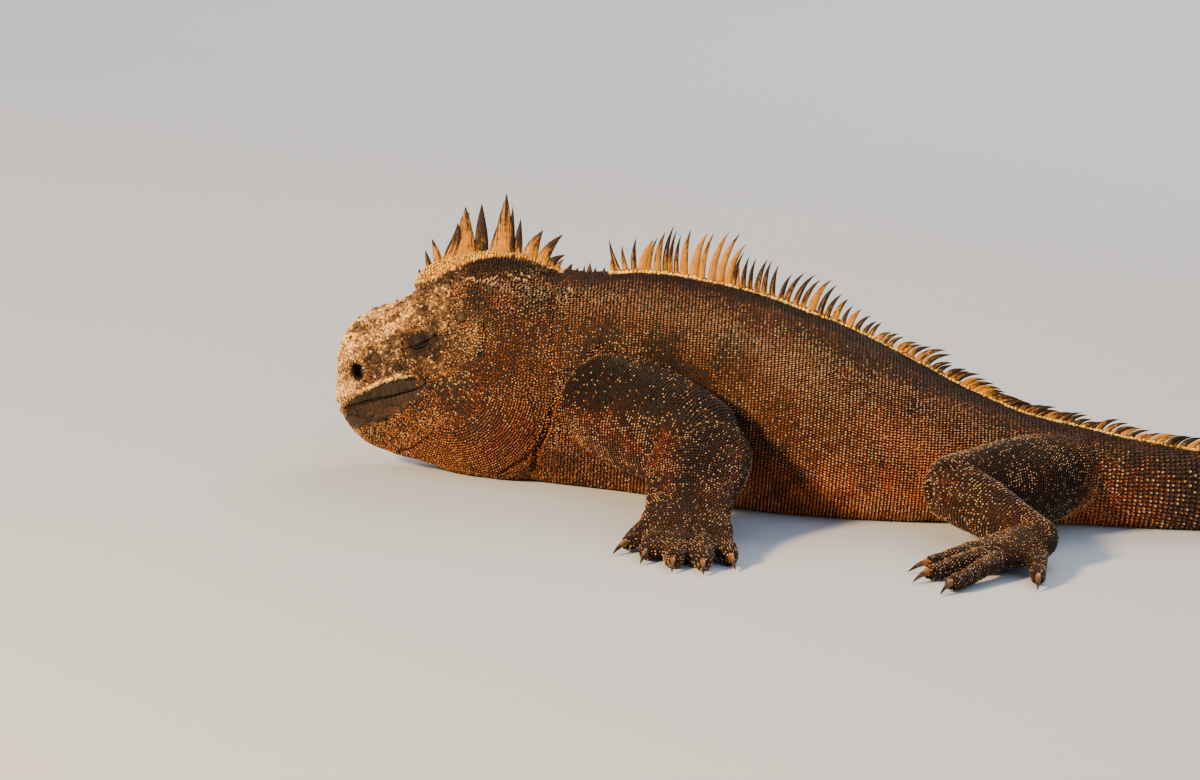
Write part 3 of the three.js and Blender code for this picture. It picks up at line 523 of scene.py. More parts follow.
# %% Lines of the head and neck, as (x, z) in the side view
MOUTH_LINE = [
    (-136, 28), (-129.8, 28.5), (-123.6, 30.6), (-117.2, 34), (-108.7, 37.4), (-98.7, 41.2),
    (-92.6, 44), (-88.9, 46.3), (-84.5, 49.6),
]
LIP_RIDGE = [(-127, 33.8), (-119.6, 38.6), (-110.1, 45.1), (-104, 48.2), (-98.5, 50.1), (-91, 51.2)]
EAR = [(-60, 80), (-58.6, 75), (-58.8, 69), (-60.4, 64.5)]
FOLDS = [
    # name, line, depth, half-width, height of the roll in front of it
    ("mouth corner", [(-86, 48.4), (-79.2, 54.1), (-70.4, 59.8)], 0.7, 1.1, 0.3),
    (
        "lower lip",
        [(-122, 26.8), (-114, 25.3), (-107.8, 25.3), (-100, 28.5), (-90, 36.5), (-82, 46)],
        0.9,
        1,
        0.4,
    ),
    (
        "shoulder",
        [
            (-1.9, 75.3), (-13.4, 66.1), (-18.9, 57.3), (-21.8, 48.6), (-24.5, 33.7), (-25.8, 27.3),
            (-29.2, 17.5), (-30, 8),
        ],
        3.2,
        1.5,
        0.8,
    ),
    ("neck", [(-26.8, 97.7), (-26.2, 84.8), (-25.4, 75), (-23.3, 54.7)], 0.9, 0.9, 0.2),
    ("throat", [(-23.2, 34), (-27.5, 22), (-35, 14), (-46.6, 4.4)], 1.8, 1.2, 0.6),
    ("chin", [(-84, 20), (-86, 18.2), (-89.4, 14.8), (-92.5, 11.6), (-97, 9.8)], 2.2, 1.2, 0.5),
    ("under jaw", [(-80, 40), (-79, 30), (-82, 22)], 0.6, 1.4, 0.2),
    ("ear", EAR, 1.6, 1.5, 0.5),
    ("nape", [(-86, 92), (-78, 95.4), (-66, 102.4), (-52, 104.2), (-36, 103)], 1, 1.5, 0),
]
RIDGE_EDGE = [
    (-99, 91.8), (-94.5, 94.2), (-85.9, 97.1), (-77.6, 102.9), (-70.6, 106.8), (-65, 109.1),
    (-56.3, 110.9), (-49.1, 111.5), (-43.2, 110.5), (-37.2, 109.5), (-32, 107.7), (-24, 105.4),
]
EYE = np.array([-91, 18.9, 67.3])
EYE_RADIUS = 6.1
LID_SLOPE = math.radians(29)
# The lids' half-length and half-height, and half the length of the slit between them.
LID_REACH = (8.6, 5)
SLIT = 3.9
# Places nearer to the midline than this are not on the side of the face.
FACE_SIDE = 12
NOSTRIL = np.array([-120.8, 17.3, 49.4])


def off_line(x, z, line):
    """Distances in the side view from a line; they are negative below or in front of it."""
    line = np.asarray(line, dtype=float)
    best = np.full(len(x), 1e9)
    for (x0, z0), (x1, z1) in zip(line, line[1:]):
        dx, dz = x1 - x0, z1 - z0
        t = np.clip(((x - x0) * dx + (z - z0) * dz) / (dx * dx + dz * dz), 0, 1)
        away = np.hypot(x - x0 - t * dx, z - z0 - t * dz)
        side = np.sign((z - z0) * dx - (x - x0) * dz)
        best = np.where(away < np.abs(best), away * side, best)
    return best


def mound(distance, reach):
    """1 at no distance, falling away smoothly over a reach."""
    return np.exp(-((distance / reach) ** 2))


def step_up(value, low, high):
    """0 below low and 1 above high, with a smooth rise between them."""
    t = np.clip((value - low) / (high - low), 0, 1)
    return t * t * (3 - 2 * t)


def nose_ring(x, z):
    """1 on the rim of a nostril's opening in the side view and 0 at its middle."""
    dx, dz = x - NOSTRIL[0], z - NOSTRIL[2]
    return np.hypot((dx + 0.25 * dz) / 2.3, dz / 3.2)


def eye_frame(x, z):
    """Places along and across the slit between the lids, in the side view."""
    dx, dz = x - EYE[0], z - EYE[2]
    along = dx * math.cos(LID_SLOPE) + dz * math.sin(LID_SLOPE)
    return along, dz * math.cos(LID_SLOPE) - dx * math.sin(LID_SLOPE)


# %% [markdown]
# A crease shows only if the mesh has points on both its sides. Cutting the whole skin so
# fine would make it many times heavier, so only the faces near the lines are cut in four:
# the head and folds once, the mouth and nose twice and the lids three times.

# %% Finer faces where the detail is
def divide(mesh, chosen):
    """Cuts the faces between chosen points in four and evens them out."""
    edit = bmesh.new()
    edit.from_mesh(mesh)
    keep = chosen(points_of(mesh))
    edges = [e for e in edit.edges if keep[e.verts[0].index] and keep[e.verts[1].index]]
    made = bmesh.ops.subdivide_edges(edit, edges=edges, cuts=1, use_grid_fill=True)
    fresh = {v for v in made["geom"] if isinstance(v, bmesh.types.BMVert)}
    fresh |= {v for e in edges if e.is_valid for v in e.verts}
    for _ in range(2):
        bmesh.ops.smooth_vert(
            edit, verts=list(fresh), factor=0.5, use_axis_x=True, use_axis_y=True, use_axis_z=True
        )
    edit.to_mesh(mesh)
    edit.free()


def near_folds(p, reach):
    near = np.zeros(len(p), dtype=bool)
    for _, line, depth, _, _ in FOLDS:
        if depth > 0.8:
            near |= np.abs(off_line(p[:, 0], p[:, 2], line)) < reach
    return near & (np.abs(p[:, 1]) < 60)


def near_mouth(p):
    x, z = p[:, 0], p[:, 2]
    lips = np.abs(off_line(x, z, MOUTH_LINE)) < 4
    lips |= np.abs(off_line(x, z, LIP_RIDGE)) < 2.5
    along, across = eye_frame(x, z)
    lids = (along / 15) ** 2 + (across / 11) ** 2 < 1
    nose = np.hypot(x - NOSTRIL[0], z - NOSTRIL[2]) < 7
    return (x < -72) & (lips | lids | nose)


def near_lids(p):
    along, across = eye_frame(p[:, 0], p[:, 2])
    return ((along / 11.5) ** 2 + (across / 7.5) ** 2 < 1) & (np.abs(p[:, 1]) > FACE_SIDE)


divide(skin_mesh, lambda p: (p[:, 0] < -56) | near_folds(p, 4))
divide(skin_mesh, near_mouth)
divide(skin_mesh, near_lids)
print("skin faces with a finer head:", len(skin_mesh.polygons))


# %% [markdown]
# The skin of throat and neck folds as the head is held low, and the mouth is a thin dark
# line between firm lips. Each line pushes the points near it in, and those beside it out
# into a soft roll. The nostril is a short tube with a raised rim, near the snout's tip.

# %% Creases, lips and nostrils
def press_lines(mesh):
    p, n = points_of(mesh), normals_of(mesh)
    x, z = p[:, 0], p[:, 2]
    push = np.zeros(len(p))
    for _, line, depth, width, roll in FOLDS:
        away = off_line(x, z, line)
        inside = np.abs(p[:, 1]) < 52
        push += inside * (roll * mound(away - 2.4 * width, 1.6 * width) - depth * mound(away, width))
    mouth = off_line(x, z, MOUTH_LINE)
    front = step_up(-x, 89, 94)
    push -= front * 1.9 * mound(mouth, 0.8)
    push += front * 0.5 * mound(mouth + 2.4, 1.5)
    ridge = off_line(x, z, LIP_RIDGE)
    push += front * 0.8 * mound(ridge, 1.3)
    push -= front * 0.6 * step_up(mouth, 0.6, 1.8) * step_up(-ridge, 0.8, 2)
    nose = nose_ring(x, z)
    push += 0.9 * mound(nose - 1.6, 0.35) - 5.5 * np.exp(-(nose**6))
    move_points(mesh, p + n * push[:, None])


press_lines(skin_mesh)


# %% [markdown]
# The eye is nearly closed in the sun. Both lids bulge over the eyeball with a few ring
# wrinkles, and meet in a slope that falls towards the snout. Only a short slit stays open.
# The lids are the skin itself, drawn out to a ball a little larger than the eyeball.

# %% Lids
def press_lids(mesh):
    """Raises two lids over each eyeball and opens a narrow slit between them."""
    p = points_of(mesh)
    side, y = np.sign(p[:, 1]), np.abs(p[:, 1])
    along, across = eye_frame(p[:, 0], p[:, 2])
    ring = np.sqrt((along / LID_REACH[0]) ** 2 + (across / LID_REACH[1]) ** 2)
    lid = EYE[1] + np.sqrt(np.maximum(0, (EYE_RADIUS + 0.55) ** 2 - along**2 - across**2))
    raised = (y + lid + np.sqrt((y - lid) ** 2 + 0.8)) / 2 - 0.2
    raised += 0.6 * mound(ring - 1.3, 0.16) - 0.7 * mound(ring - 1.06, 0.08)
    raised -= 0.16 * (1 + np.cos(ring * 21)) * step_up(ring, 0.35, 0.5) * step_up(-ring, -1, -0.85)
    drop = across + 0.5
    opening = 0.45 * np.maximum(0, 1 - (along / SLIT) ** 2) ** 0.7
    gap = step_up(opening - np.abs(drop), -0.3, 0.12) * (np.abs(along) < SLIT)
    raised += 0.4 * mound(np.abs(drop) - opening - 0.7, 0.5) * (np.abs(along) < SLIT + 1)
    crease = mound(drop - 0.2, 0.4) * step_up(np.abs(along), SLIT - 0.6, SLIT + 0.4)
    raised -= 1.0 * crease * step_up(-np.abs(along), -9.5, -8)
    raised = raised * (1 - gap) + (EYE[1] + 2.4) * gap
    near = ((along / 14) ** 2 + (across / 10) ** 2 < 1) & (y > 10) & (p[:, 0] < -72)
    fade = step_up(-np.sqrt((along / 14) ** 2 + (across / 10) ** 2), -1, -0.85)
    y = np.where(near, y + (raised - y) * fade, y)
    p[:, 1] = side * y
    move_points(mesh, p)


press_lids(skin_mesh)


# %% [markdown]
# Live hide over muscle is never even. Soft random swellings of a few tenths of a
# millimetre break up the loft's smooth curves. The same random field also mottles the
# colours later. What would sink into the floor is laid flat on it.

# %% Finish the skin's form
LATTICE = draw.random((32, 32, 32))


def patches(points, size):
    """Smooth random values from 0 to 1 that change over a size in millimetres."""
    spot = np.asarray(points) / size
    cell = np.floor(spot).astype(int)
    t = spot - cell
    t = t * t * (3 - 2 * t)
    total = np.zeros(len(spot))
    for corner in np.ndindex(2, 2, 2):
        weight = np.prod(np.where(corner, t, 1 - t), axis=1)
        total += weight * LATTICE[tuple(((cell + corner) % 32).T)]
    return total


LOWEST = 0.15


def roughen(mesh):
    p, n = points_of(mesh), normals_of(mesh)
    uneven = 0.5 * (patches(p, 7) - 0.5) + 0.9 * (patches(p, 19) - 0.5)
    p += n * uneven[:, None]
    p[:, 2] = np.maximum(p[:, 2], LOWEST)
    move_points(mesh, p)
    mesh.polygons.foreach_set("use_smooth", [True] * len(mesh.polygons))


roughen(skin_mesh)

# %% [markdown]
# ## Markings
# The animal is dark, near black on its limbs and tail, with rust red on the cheeks, orange low
# on the belly, partly its own colour and partly painted warm light reflected from below, and a
# pale, stony snout. Single scales all over are cream, partly pale scales and partly a painted
# highlight. The same rules colour the skin and each scale, from where they are on the body.

# %% Colours of the body
# How fast the lower lip narrows towards the mouth's corner.
LIP_TAPER = 0.55
# Where the knobs beside the back's spines end, along the body.
KNOBS_END = 310
SNOUT = "#d19c60"
STONE = "#36271e"
LORE = "#3f2d1e"
FACE = "#271003"
LIP = "#160b03"
LID = "#211106"
LIP_EDGE = "#b08f5a"
RUST = "#542004"
JOWL = "#512003"
THROAT = "#6c3906"
CHIN = "#503819"
NECK = "#361e08"
DARK = "#130904"
BACK = "#2b1605"
FLANK = "#4e280a"
BELLY = "#a14605"
ARM = "#150803"
HAND = "#2a1708"
TAIL = "#2a1a0b"
HOLE_SHADE = "#0c0604"
RIDGE = "#ffb345"
BOSS = "#46371a"
CREAM = "#ffd090"
EMBER = "#ce7c27"


# %% Places on the body
def section_at(at):
    """The trunk's top, bottom, half-width and widest height at a place along it."""
    return [np.interp(at, OUTLINE[:, 0], OUTLINE[:, k]) for k in range(1, 5)]


def body_place(p):
    """Distance along the body, distance off its midline and height below its top."""
    at = np.where(p[:, 0] < VENT, p[:, 0], np.interp(p[:, 0], PATH[:, 0], PATH_AT))
    off = np.abs(p[:, 1] - midline(at)[:, 1]) * np.cos(heading(at))
    return at, off, top_at(at) - p[:, 2]


def blob(p, place, reach):
    """1 at a place on both sides of the body, falling away smoothly over a reach."""
    spot = np.column_stack([p[:, 0], np.abs(p[:, 1]), p[:, 2]])
    return np.exp(-(((spot - place) / reach) ** 2).sum(axis=1))


def limb_share(p):
    """1 on the limbs and 0 on the trunk."""
    at, off, _ = body_place(p)
    off = off - section_at(at)[2]
    ahead_of_vent = step_up(-p[:, 0], -VENT, 24 - VENT)
    out = step_up(off, 0, 7) * np.maximum(ahead_of_vent, step_up(off, 10, 18))
    shoulder = np.minimum(1, 1.5 * blob(p, (22, 62, 58), (34, 26, 20)))
    return np.maximum(out, shoulder) * (p[:, 0] > -62)


# %% Markings
def markings(p):
    """Linear colours at places on the body, without the cream of single scales."""
    x, z = p[:, 0], p[:, 2]
    at, off, below = body_place(p)
    colour = np.tile(np.array(linear(FLANK)[:3]), (len(p), 1))

    def tint(code, amount):
        amount = np.clip(amount, 0, 1)[:, None]
        colour[:] = colour * (1 - amount) + np.array(linear(code)[:3]) * amount

    middling = patches(p + 50, 13)
    tint(BACK, step_up(-below, -40, -8) * 0.9)
    # Orange towards the bottom: partly the animal's own colour, partly painted warm light reflected from
    # below.
    tint(BELLY, step_up(-z, -40, -12) * step_up(at, 20, 60) * (0.3 + 0.9 * middling))
    tint(BELLY, step_up(at, 105, 175) * step_up(below, 14, 38) * (0.3 + 0.6 * middling))
    tint(NECK, step_up(-at, -34, 20))
    tint(DARK, step_up(-below, -26, -8) * step_up(-at, -10, 20) * 0.45)
    tint(RUST, step_up(middling, 0.45, 0.8) * 0.45)
    tint(DARK, step_up(patches(p + 20, 11), 0.5, 0.8) * 0.5)
    tint(BACK, step_up(-below, -13, -7) * step_up(at, -40, 0) * 0.55)
    tint(DARK, step_up(-below, -4, -2) * step_up(at, -30, 0) * 0.8)
    under_ridge = off_line(x, z, RIDGE_EDGE)
    tint(DARK, mound(under_ridge + 2.5, 3) * step_up(at, -96, -88) * step_up(-at, 20, 30) * 0.9)
    tint(RUST, blob(p, (-52, 36, 40), (26, 26, 26)) * (0.4 + 0.7 * middling))
    tint(THROAT, blob(p, (-66, 24, 8), (34, 30, 22)) * 1.1)
    tint(JOWL, blob(p, (-42, 30, 18), (18, 26, 18)) * 0.8)
    head = step_up(-x, 52, 72) * step_up(z + 0.4 * x, -4, 14)
    tint(FACE, head * 0.9)
    tint(LORE, blob(p, (-108, 20, 56), (13, 16, 11)) * 1.1)
    crown = step_up(z + 0.35 * (x + 110), 58, 72)
    tint(SNOUT, crown * (0.2 * step_up(-x, 66, 80) + 0.65 * step_up(-x, 90, 104)))
    tint(SNOUT, step_up(-x, 114, 124) * 0.8)
    tint(LORE, blob(p, (-124, 15, 50), (8, 12, 9)) * 0.9)
    tint(CHIN, blob(p, (-117, 14, 22), (14, 16, 8)))
    tint(SNOUT, blob(p, (-64, 30, 74), (7, 12, 8)) * 0.4)
    stains = step_up(patches(p + 70, 7), 0.5, 0.68) * step_up(z, 50, 62)
    stains = np.maximum(stains, 1.2 * blob(p, (-114.5, 13, 74), (4.5, 6, 3.5)))
    tint(STONE, stains * step_up(-x, 64, 80) * 0.85)
    mouth, lip_ridge = off_line(x, z, MOUTH_LINE), off_line(x, z, LIP_RIDGE)
    low = LIP_TAPER * np.maximum(0, x + 106)
    lips = step_up(mouth - low, -12, -10.8) * step_up(-lip_ridge, -0.2, 0.8) * step_up(-x, 86, 92)
    tint(LIP, lips * step_up(x, -131, -125) * 0.95)
    tint(LORE, lips * step_up(-mouth, 0.5, 1.5) * 0.5 * patches(p + 9, 6))
    tint(LIP_EDGE, mound(lip_ridge, 1.3) * step_up(-x, 96, 102) * step_up(patches(p + 5, 4), 0.25, 0.5))
    tint(LID, blob(p, (EYE[0], 25, EYE[2] - 1), (13, 14, 9)) * 1.15)
    # Painted shade: near black in the ear's groove and inside each nostril.
    tint(HOLE_SHADE, mound(off_line(x, z, EAR), 1.7) * 0.75)
    tint(HOLE_SHADE, step_up(-nose_ring(x, z), -1.15, -0.85) * (x < -112))
    tint(RIDGE, on_ridge(p, -0.4) * 0.95)
    tint(RIDGE, beside_crest(p))
    limb = limb_share(p)
    tint(ARM, limb * 0.92)
    tint(RUST, limb * step_up(middling, 0.6, 0.8) * 0.25)
    upper = limb * step_up(-x, -48, -30) * step_up(z, 16, 32) * step_up(-z, -62, -38)
    tint(RUST, upper * (0.1 + 0.3 * middling))
    tint(BELLY, upper * step_up(patches(p + 64, 9), 0.4, 0.75) * 0.16)
    tint(DARK, limb * step_up(z, 36, 62) * step_up(-x, -82, -60) * 0.7)
    tint(HAND, limb * step_up(-z, -26, -10))
    tail = step_up(at, 225, 300) * (1 - limb)
    tint(TAIL, tail * 0.95 * (1 - beside_crest(p)))
    tint(RUST, tail * step_up(middling, 0.55, 0.8) * 0.3)
    return colour


# %% Cream and orange points
def beside_crest(p):
    """1 on the strip along the foot of the back's spines, and 0 elsewhere."""
    at, off, below = body_place(p)
    return (off < np.where(at < 112, 4.2, 3.1)) & (below < 2.4) & (at > 0) & (at < KNOBS_END)


def cream_chance(p):
    """How likely the point of a single scale is to be cream: partly pale scales and salt, partly a painted
    highlight.
    """
    at, off, below = body_place(p)
    chance = 0.12 + 0.4 * step_up(patches(p + 33, 15), 0.35, 0.68) + 0.3 * step_up(at, 95, 160)
    chance *= step_up(below, 4, 12) * (0.5 + 0.4 * step_up(at, 40, 100))
    limb = limb_share(p)
    on_limb = np.where(p[:, 2] > 52, 0.4, 1) * (0.14 + 0.26 * step_up(patches(p + 15, 12), 0.4, 0.7))
    chance = np.where(limb > 0.5, on_limb, chance)
    chance = np.where((p[:, 2] < 30) & (limb < 0.5) & (at < 110), chance * 0.35, chance)
    chance = np.where((at > 240) & (limb < 0.5), chance * 0.4, chance)
    chance = np.where(in_head(p), 0.13, chance)
    chance = np.where(on_snout(p), 0.06, chance)
    chance = chance + 0.7 * blob(p, (-125.5, 12, 38.5), (5, 14, 4.5))
    return np.where(on_lids(p), 0, np.maximum(chance, 0.35 * beside_crest(p)))


def ember_chance(p):
    """How likely the point of a single scale is to be rust orange: partly the scale's own colour, partly a
    painted highlight.
    """
    at, off, below = body_place(p)
    chance = 0.12 + 0.55 * step_up(patches(p + 50, 16), 0.35, 0.7)
    chance *= step_up(below, 2, 8)
    on_limb = np.where((p[:, 0] < 42) & (p[:, 2] < 48), 0.14, 0.04)
    chance = np.where(limb_share(p) > 0.5, on_limb, chance)
    chance = np.where(at > 250, chance * 0.4, chance)
    return np.where(on_snout(p) | on_ridge(p) | on_lids(p), 0, chance)


# %% [markdown]
# ## Scales
# A marine iguana's scales are small, keeled and pointed, set in rings round the trunk, the
# limbs and the tail. On the throat they run in curved rows, on the lips they are flat
# plates, and on the snout an uneven crust of stumps. The special ones are placed first, then
# the rows, and the spaces that are left, as at the elbows and folds, are filled last.

# %% Where the skin is
edit = bmesh.new()
edit.from_mesh(skin_mesh)
skin_tree = BVHTree.FromBMesh(edit)
edit.free()
skin_normals = normals_of(skin_mesh)
corner_of_face = np.array([f.vertices[0] for f in skin_mesh.polygons])


def settle(points, reach=2.6):
    """Moves places onto the skin; those further off than reach are dropped."""
    spots, normals, kept = [], [], []
    for i, point in enumerate(points):
        spot, normal, face, away = skin_tree.find_nearest(Vector(point * MM), reach * MM)
        if spot is not None:
            spots.append(np.array(spot) / MM)
            normals.append(skin_normals[corner_of_face[face]])
            kept.append(i)
    return np.array(spots), np.array(normals), np.array(kept, dtype=int)


# %% [markdown]
# Real scales grow side by side and never through each other. So a scale is placed only
# where none is too near. Each has a place, the skin's way up, the way it lies, a size and
# a kind. On a tube the places run in rings, every second one shifted by half a scale.

# %% Rows of scales
# Kinds of scale. A crag has three shapes, 2 to 4, and one of them is drawn for each later.
KEELED, PLATE, CRAG, FLAKE, DOME = 0, 1, 2, 5, 6
# The grid's cell is wider than the room that any scale claims.
CELL = 4.2
AROUND = [(a - 1, b - 1, c - 1) for a, b, c in np.ndindex(3, 3, 3)]
LOWEST_SCALE = 1.0


class Coat:
    """Scales that have been placed, with a grid that finds neighbours quickly."""

    def __init__(self):
        self.rows = {"spot": [], "up": [], "lie": [], "size": [], "kind": []}
        self.grid = {}

    def claim(self, spot, space):
        """Takes a place if no scale is within space of it."""
        x, y, z = spot
        i, j, k = int(x // CELL), int(y // CELL), int(z // CELL)
        for cell in [(i + a, j + b, k + c) for a, b, c in AROUND]:
            for ox, oy, oz in self.grid.get(cell, ()):
                if (ox - x) ** 2 + (oy - y) ** 2 + (oz - z) ** 2 < space * space:
                    return False
        self.grid.setdefault((i, j, k), []).append((x, y, z))
        return True

    def place(self, spots, ups, lies, sizes, kind, space=0.7):
        """Adds scales that have room. size is (along, across, height)."""
        room = (space * np.minimum(sizes[:, 0], sizes[:, 1])).tolist()
        high = (spots[:, 2] > LOWEST_SCALE).tolist()
        kept = [
            i for i, spot in enumerate(spots.tolist()) if high[i] and self.claim(spot, room[i])
        ]
        if not kept:
            return
        spots, ups, sizes = spots[kept], ups[kept], sizes[kept]
        lies = lies(spots) if callable(lies) else lies[kept]
        lies = lies / (np.linalg.norm(lies, axis=1, keepdims=True) + 1e-9)
        lies = lies + draw.normal(0, 0.1, lies.shape)
        lies = lies - ups * (lies * ups).sum(axis=1, keepdims=True)
        lies = lies / (np.linalg.norm(lies, axis=1, keepdims=True) + 1e-9)
        kinds = np.full(len(kept), kind)
        for key, values in zip(self.rows, (spots, ups, lies, sizes, kinds)):
            self.rows[key].append(values)

    def all(self, key):
        return np.concatenate(self.rows[key])

    def count(self):
        return sum(len(kinds) for kinds in self.rows["kind"])


coat = Coat()
RING_POINTS = 241


# %% Rings
def ring_places(place, share, spacing, shift):
    """Evenly spaced places round one ring of a tube, and the way to the next ring."""
    angle = np.linspace(-math.pi / 2, math.pi * 1.5, RING_POINTS)
    ring = place(np.full(RING_POINTS, share), angle)
    along = np.concatenate([[0], np.cumsum(np.linalg.norm(np.diff(ring, axis=0), axis=1))])
    count = max(5, round(along[-1] / spacing))
    turn = np.interp((np.arange(count) + shift) / count * along[-1], along, angle)
    here = place(np.full(count, share), turn)
    there = place(np.full(count, min(1, share + 2e-3)), turn)
    before = place(np.full(count, max(0, share - 2e-3)), turn)
    return here, there - before


def lay_rings(place, shares, spacing, size, jitter, keep=None, reach=2.6):
    """Rings of keeled scales round a tube, where keep allows them."""
    for i, share in enumerate(shares):
        across = spacing(share)
        here, lie = ring_places(place, share, across, 0.5 * (i % 2))
        here = here + draw.normal(0, jitter * across, here.shape)
        if keep is not None:
            chosen = keep(here)
            here, lie = here[chosen], lie[chosen]
        if len(here) == 0:
            continue
        spots, ups, kept = settle(here, reach)
        if len(kept):
            sizes = np.outer(draw.uniform(0.88, 1.12, len(kept)) * across, size)
            coat.place(spots, ups, lie[kept], sizes, KEELED, space=0.6)


# %% Regions of the coat
# The jaw's angle, in the side view.
THROAT_X, THROAT_Z = -75, 48


def in_throat(p):
    """The pouch below the jaw, where the scales run in curves round the jaw's angle."""
    x, z = p[:, 0], p[:, 2]
    radius = np.hypot(x - THROAT_X, z - THROAT_Z)
    front = off_line(x, z, [(-104, -10), (-86, 22), (-72, 34)])
    back = off_line(x, z, [(-30, -10), (-23.5, 42), (-24, 70)])
    return (radius > 19) & (radius < 62) & (front < 0) & (back > 0) & (z < 44)


def on_ridge(p, margin=0.0):
    """The fleshy ridge that carries the nape's spines."""
    above = off_line(p[:, 0], p[:, 2], RIDGE_EDGE) > margin
    return above & (np.abs(p[:, 1]) < 8) & (p[:, 0] > -98) & (p[:, 0] < -23)


def in_head(p):
    """Ahead of a line that slopes down from behind the temple to the jaw's angle."""
    return p[:, 0] + 0.25 * (p[:, 2] - 60) < -62


# %% How far apart the rings are
# Scales across a ring, and how much longer than that a scale is, along the body.
SPACING = np.array(
    [(-60, 1.3), (40, 1.3), (200, 1.4), (VENT, 1.9), (320, 2.8), (500, 2.7), (800, 2.2)]
)
STRETCH = np.array([(-60, 1.15), (0, 1.3), (200, 1.3), (320, 1.05)])


def body_spacing(share):
    return float(np.interp(smooth_rows(SECTIONS, share)[0, 0], *SPACING.T))


def body_pitch(share):
    return body_spacing(share) * float(np.interp(smooth_rows(SECTIONS, share)[0, 0], *STRETCH.T))


def even_shares(place, pitch, start, stop):
    """Shares of a tube's length so that its rings are a pitch apart."""
    share = np.linspace(start, stop, 2001)
    quarter = np.full(len(share), math.pi / 2)
    centre = (place(share, quarter) + place(share, -quarter)) / 2
    along = np.concatenate([[0], np.cumsum(np.linalg.norm(np.diff(centre, axis=0), axis=1))])
    density = np.concatenate([[0], np.cumsum(np.diff(along) / np.array([pitch(s) for s in share[1:]]))])
    return np.interp(np.arange(0.5, density[-1]), density, share)


# %% [markdown]
# Some scales can be told one by one in the photo: a row of tall plates on each lip, round
# bosses in the temple, knobs along the foot of the crest, and pale flakes of old skin that
# stand up under the nape's ridge. They are laid along lines or at places read from it.

# %% The head's special scales
def side_of_head(x, z):
    """Places on both sides of the trunk from (x, z) in the side view."""
    at = np.asarray(x, dtype=float)
    top, bottom, half, widest = section_at(at)
    upper = z > widest
    span = np.where(upper, top - widest, widest - bottom)
    sine = np.clip(np.abs(z - widest) / span, 0, 0.999) ** (1 / np.where(upper, ROUND_TOP, ROUND_BELLY))
    y = half * np.sqrt(1 - sine**2) ** ROUND_SIDE
    left = np.column_stack([at, -y, z])
    return np.vstack([left, left * (1, -1, 1)])


def along_line(line, pitch):
    """Evenly spaced points on a line in the side view, with its direction there."""
    line = np.asarray(line, dtype=float)
    steps = np.hypot(*np.diff(line, axis=0).T)
    length = np.concatenate([[0], np.cumsum(steps)])
    spot = np.arange(pitch / 2, length[-1], pitch)
    x, z = np.interp(spot, length, line[:, 0]), np.interp(spot, length, line[:, 1])
    ahead = np.interp(spot + 0.5, length, line[:, 0]) - np.interp(spot - 0.5, length, line[:, 0])
    rise = np.interp(spot + 0.5, length, line[:, 1]) - np.interp(spot - 0.5, length, line[:, 1])
    return x, z, np.column_stack([ahead, np.zeros(len(x)), rise])


# Length of a lip's plate along the mouth.
LABIAL = 2.3


def lay_lips():
    """A row of tall flat plates along each lip."""
    x, z, lie = along_line(MOUTH_LINE[2:-1], LABIAL)
    ridge = np.array(LIP_RIDGE)
    high = np.interp(x, ridge[:, 0], ridge[:, 1]) - z - 0.8
    rows = [(high / 2 + 0.7, high), (-3.2 + 0 * x, 4.6 + 0 * x)]
    for offset, tall in rows:
        points = side_of_head(x, z + offset)
        spots, ups, kept = settle(points, 6)
        sizes = np.column_stack([np.full(len(x), LABIAL * 1.1), tall * 1.04, np.full(len(x), 0.7)])
        coat.place(spots, ups, np.vstack([lie, lie])[kept], np.vstack([sizes, sizes])[kept], PLATE, space=0.5)


# (x, z) in the side view, and how wide
BOSSES = [(-79.5, 81.8, 4.6), (-71, 81.8, 5.8), (-76, 88.5, 3.6), (-84.5, 84.5, 3.4)]


def lay_bosses():
    """Round knobs in the temple, behind the eye."""
    for x, z, width in BOSSES:
        spots, ups, _ = settle(side_of_head(np.array([x]), np.array([z])), 6)
        lie = np.tile((1.0, 0, 0), (len(spots), 1))
        coat.place(spots, ups, lie, np.tile((width, width, width * 0.5), (len(spots), 1)), DOME)


# %% Knobs, flakes and edges
def lay_crest_roots():
    """The string of small knobs along both sides of the foot of the back's spines."""
    at = 1.0
    while at < KNOBS_END:
        size = draw.uniform(1.9, 3.3) * np.interp(at, [0, VENT, 400], [1, 0.85, 0.6])
        turn = heading(at)
        aside = np.array([-math.sin(turn), math.cos(turn)])
        rows = (2.1, 3.6, 4.9) if at < 108 else (2.1,)
        for row, side in [(r, k) for r in rows for k in (-1, 1)]:
            spot = midline(at) + aside * side * row * draw.uniform(0.85, 1.15)
            spots, ups, kept = settle(np.array([[*spot, top_at(at) - 0.3 * row]]), 4)
            if len(kept):
                lie = np.array([[math.cos(turn), math.sin(turn), 0]])
                wide = size if row < 3 else size * draw.uniform(0.4, 0.75)
                coat.place(spots, ups, lie, np.array([[wide * 1.1, wide, wide]]), CRAG, space=0.6)
        at += size * 0.8


FLAKES = [
    # from x to x, height, how far it scatters: pale upright flakes of skin about to be shed
    (-71.5, -60.5, 101, 0.7),
    (-60, -55.5, 102, 0.5),
    (-60, -55.5, 99.4, 0.5),
    (-49.2, -38, 104.2, 1),
    (-20, -17, 98, 1.4),
]


def lay_flakes():
    """Thin upright scraps of skin, as pale as cream."""
    for start, stop, high, scatter in FLAKES:
        x = np.arange(start, stop, 1.25)
        points = side_of_head(x + draw.normal(0, 0.2, len(x)), high + draw.normal(0, scatter, len(x)))
        spots, ups, kept = settle(points, 8)
        lean = draw.normal(-0.1, 0.12, len(kept))
        lie = np.column_stack([lean, np.zeros(len(kept)), np.ones(len(kept))])
        sizes = np.column_stack([draw.uniform(2.2, 4, len(kept)), draw.uniform(0.8, 1.3, len(kept))])
        coat.place(spots, ups, lie, np.column_stack([sizes, np.full(len(kept), 1.3)]), FLAKE)


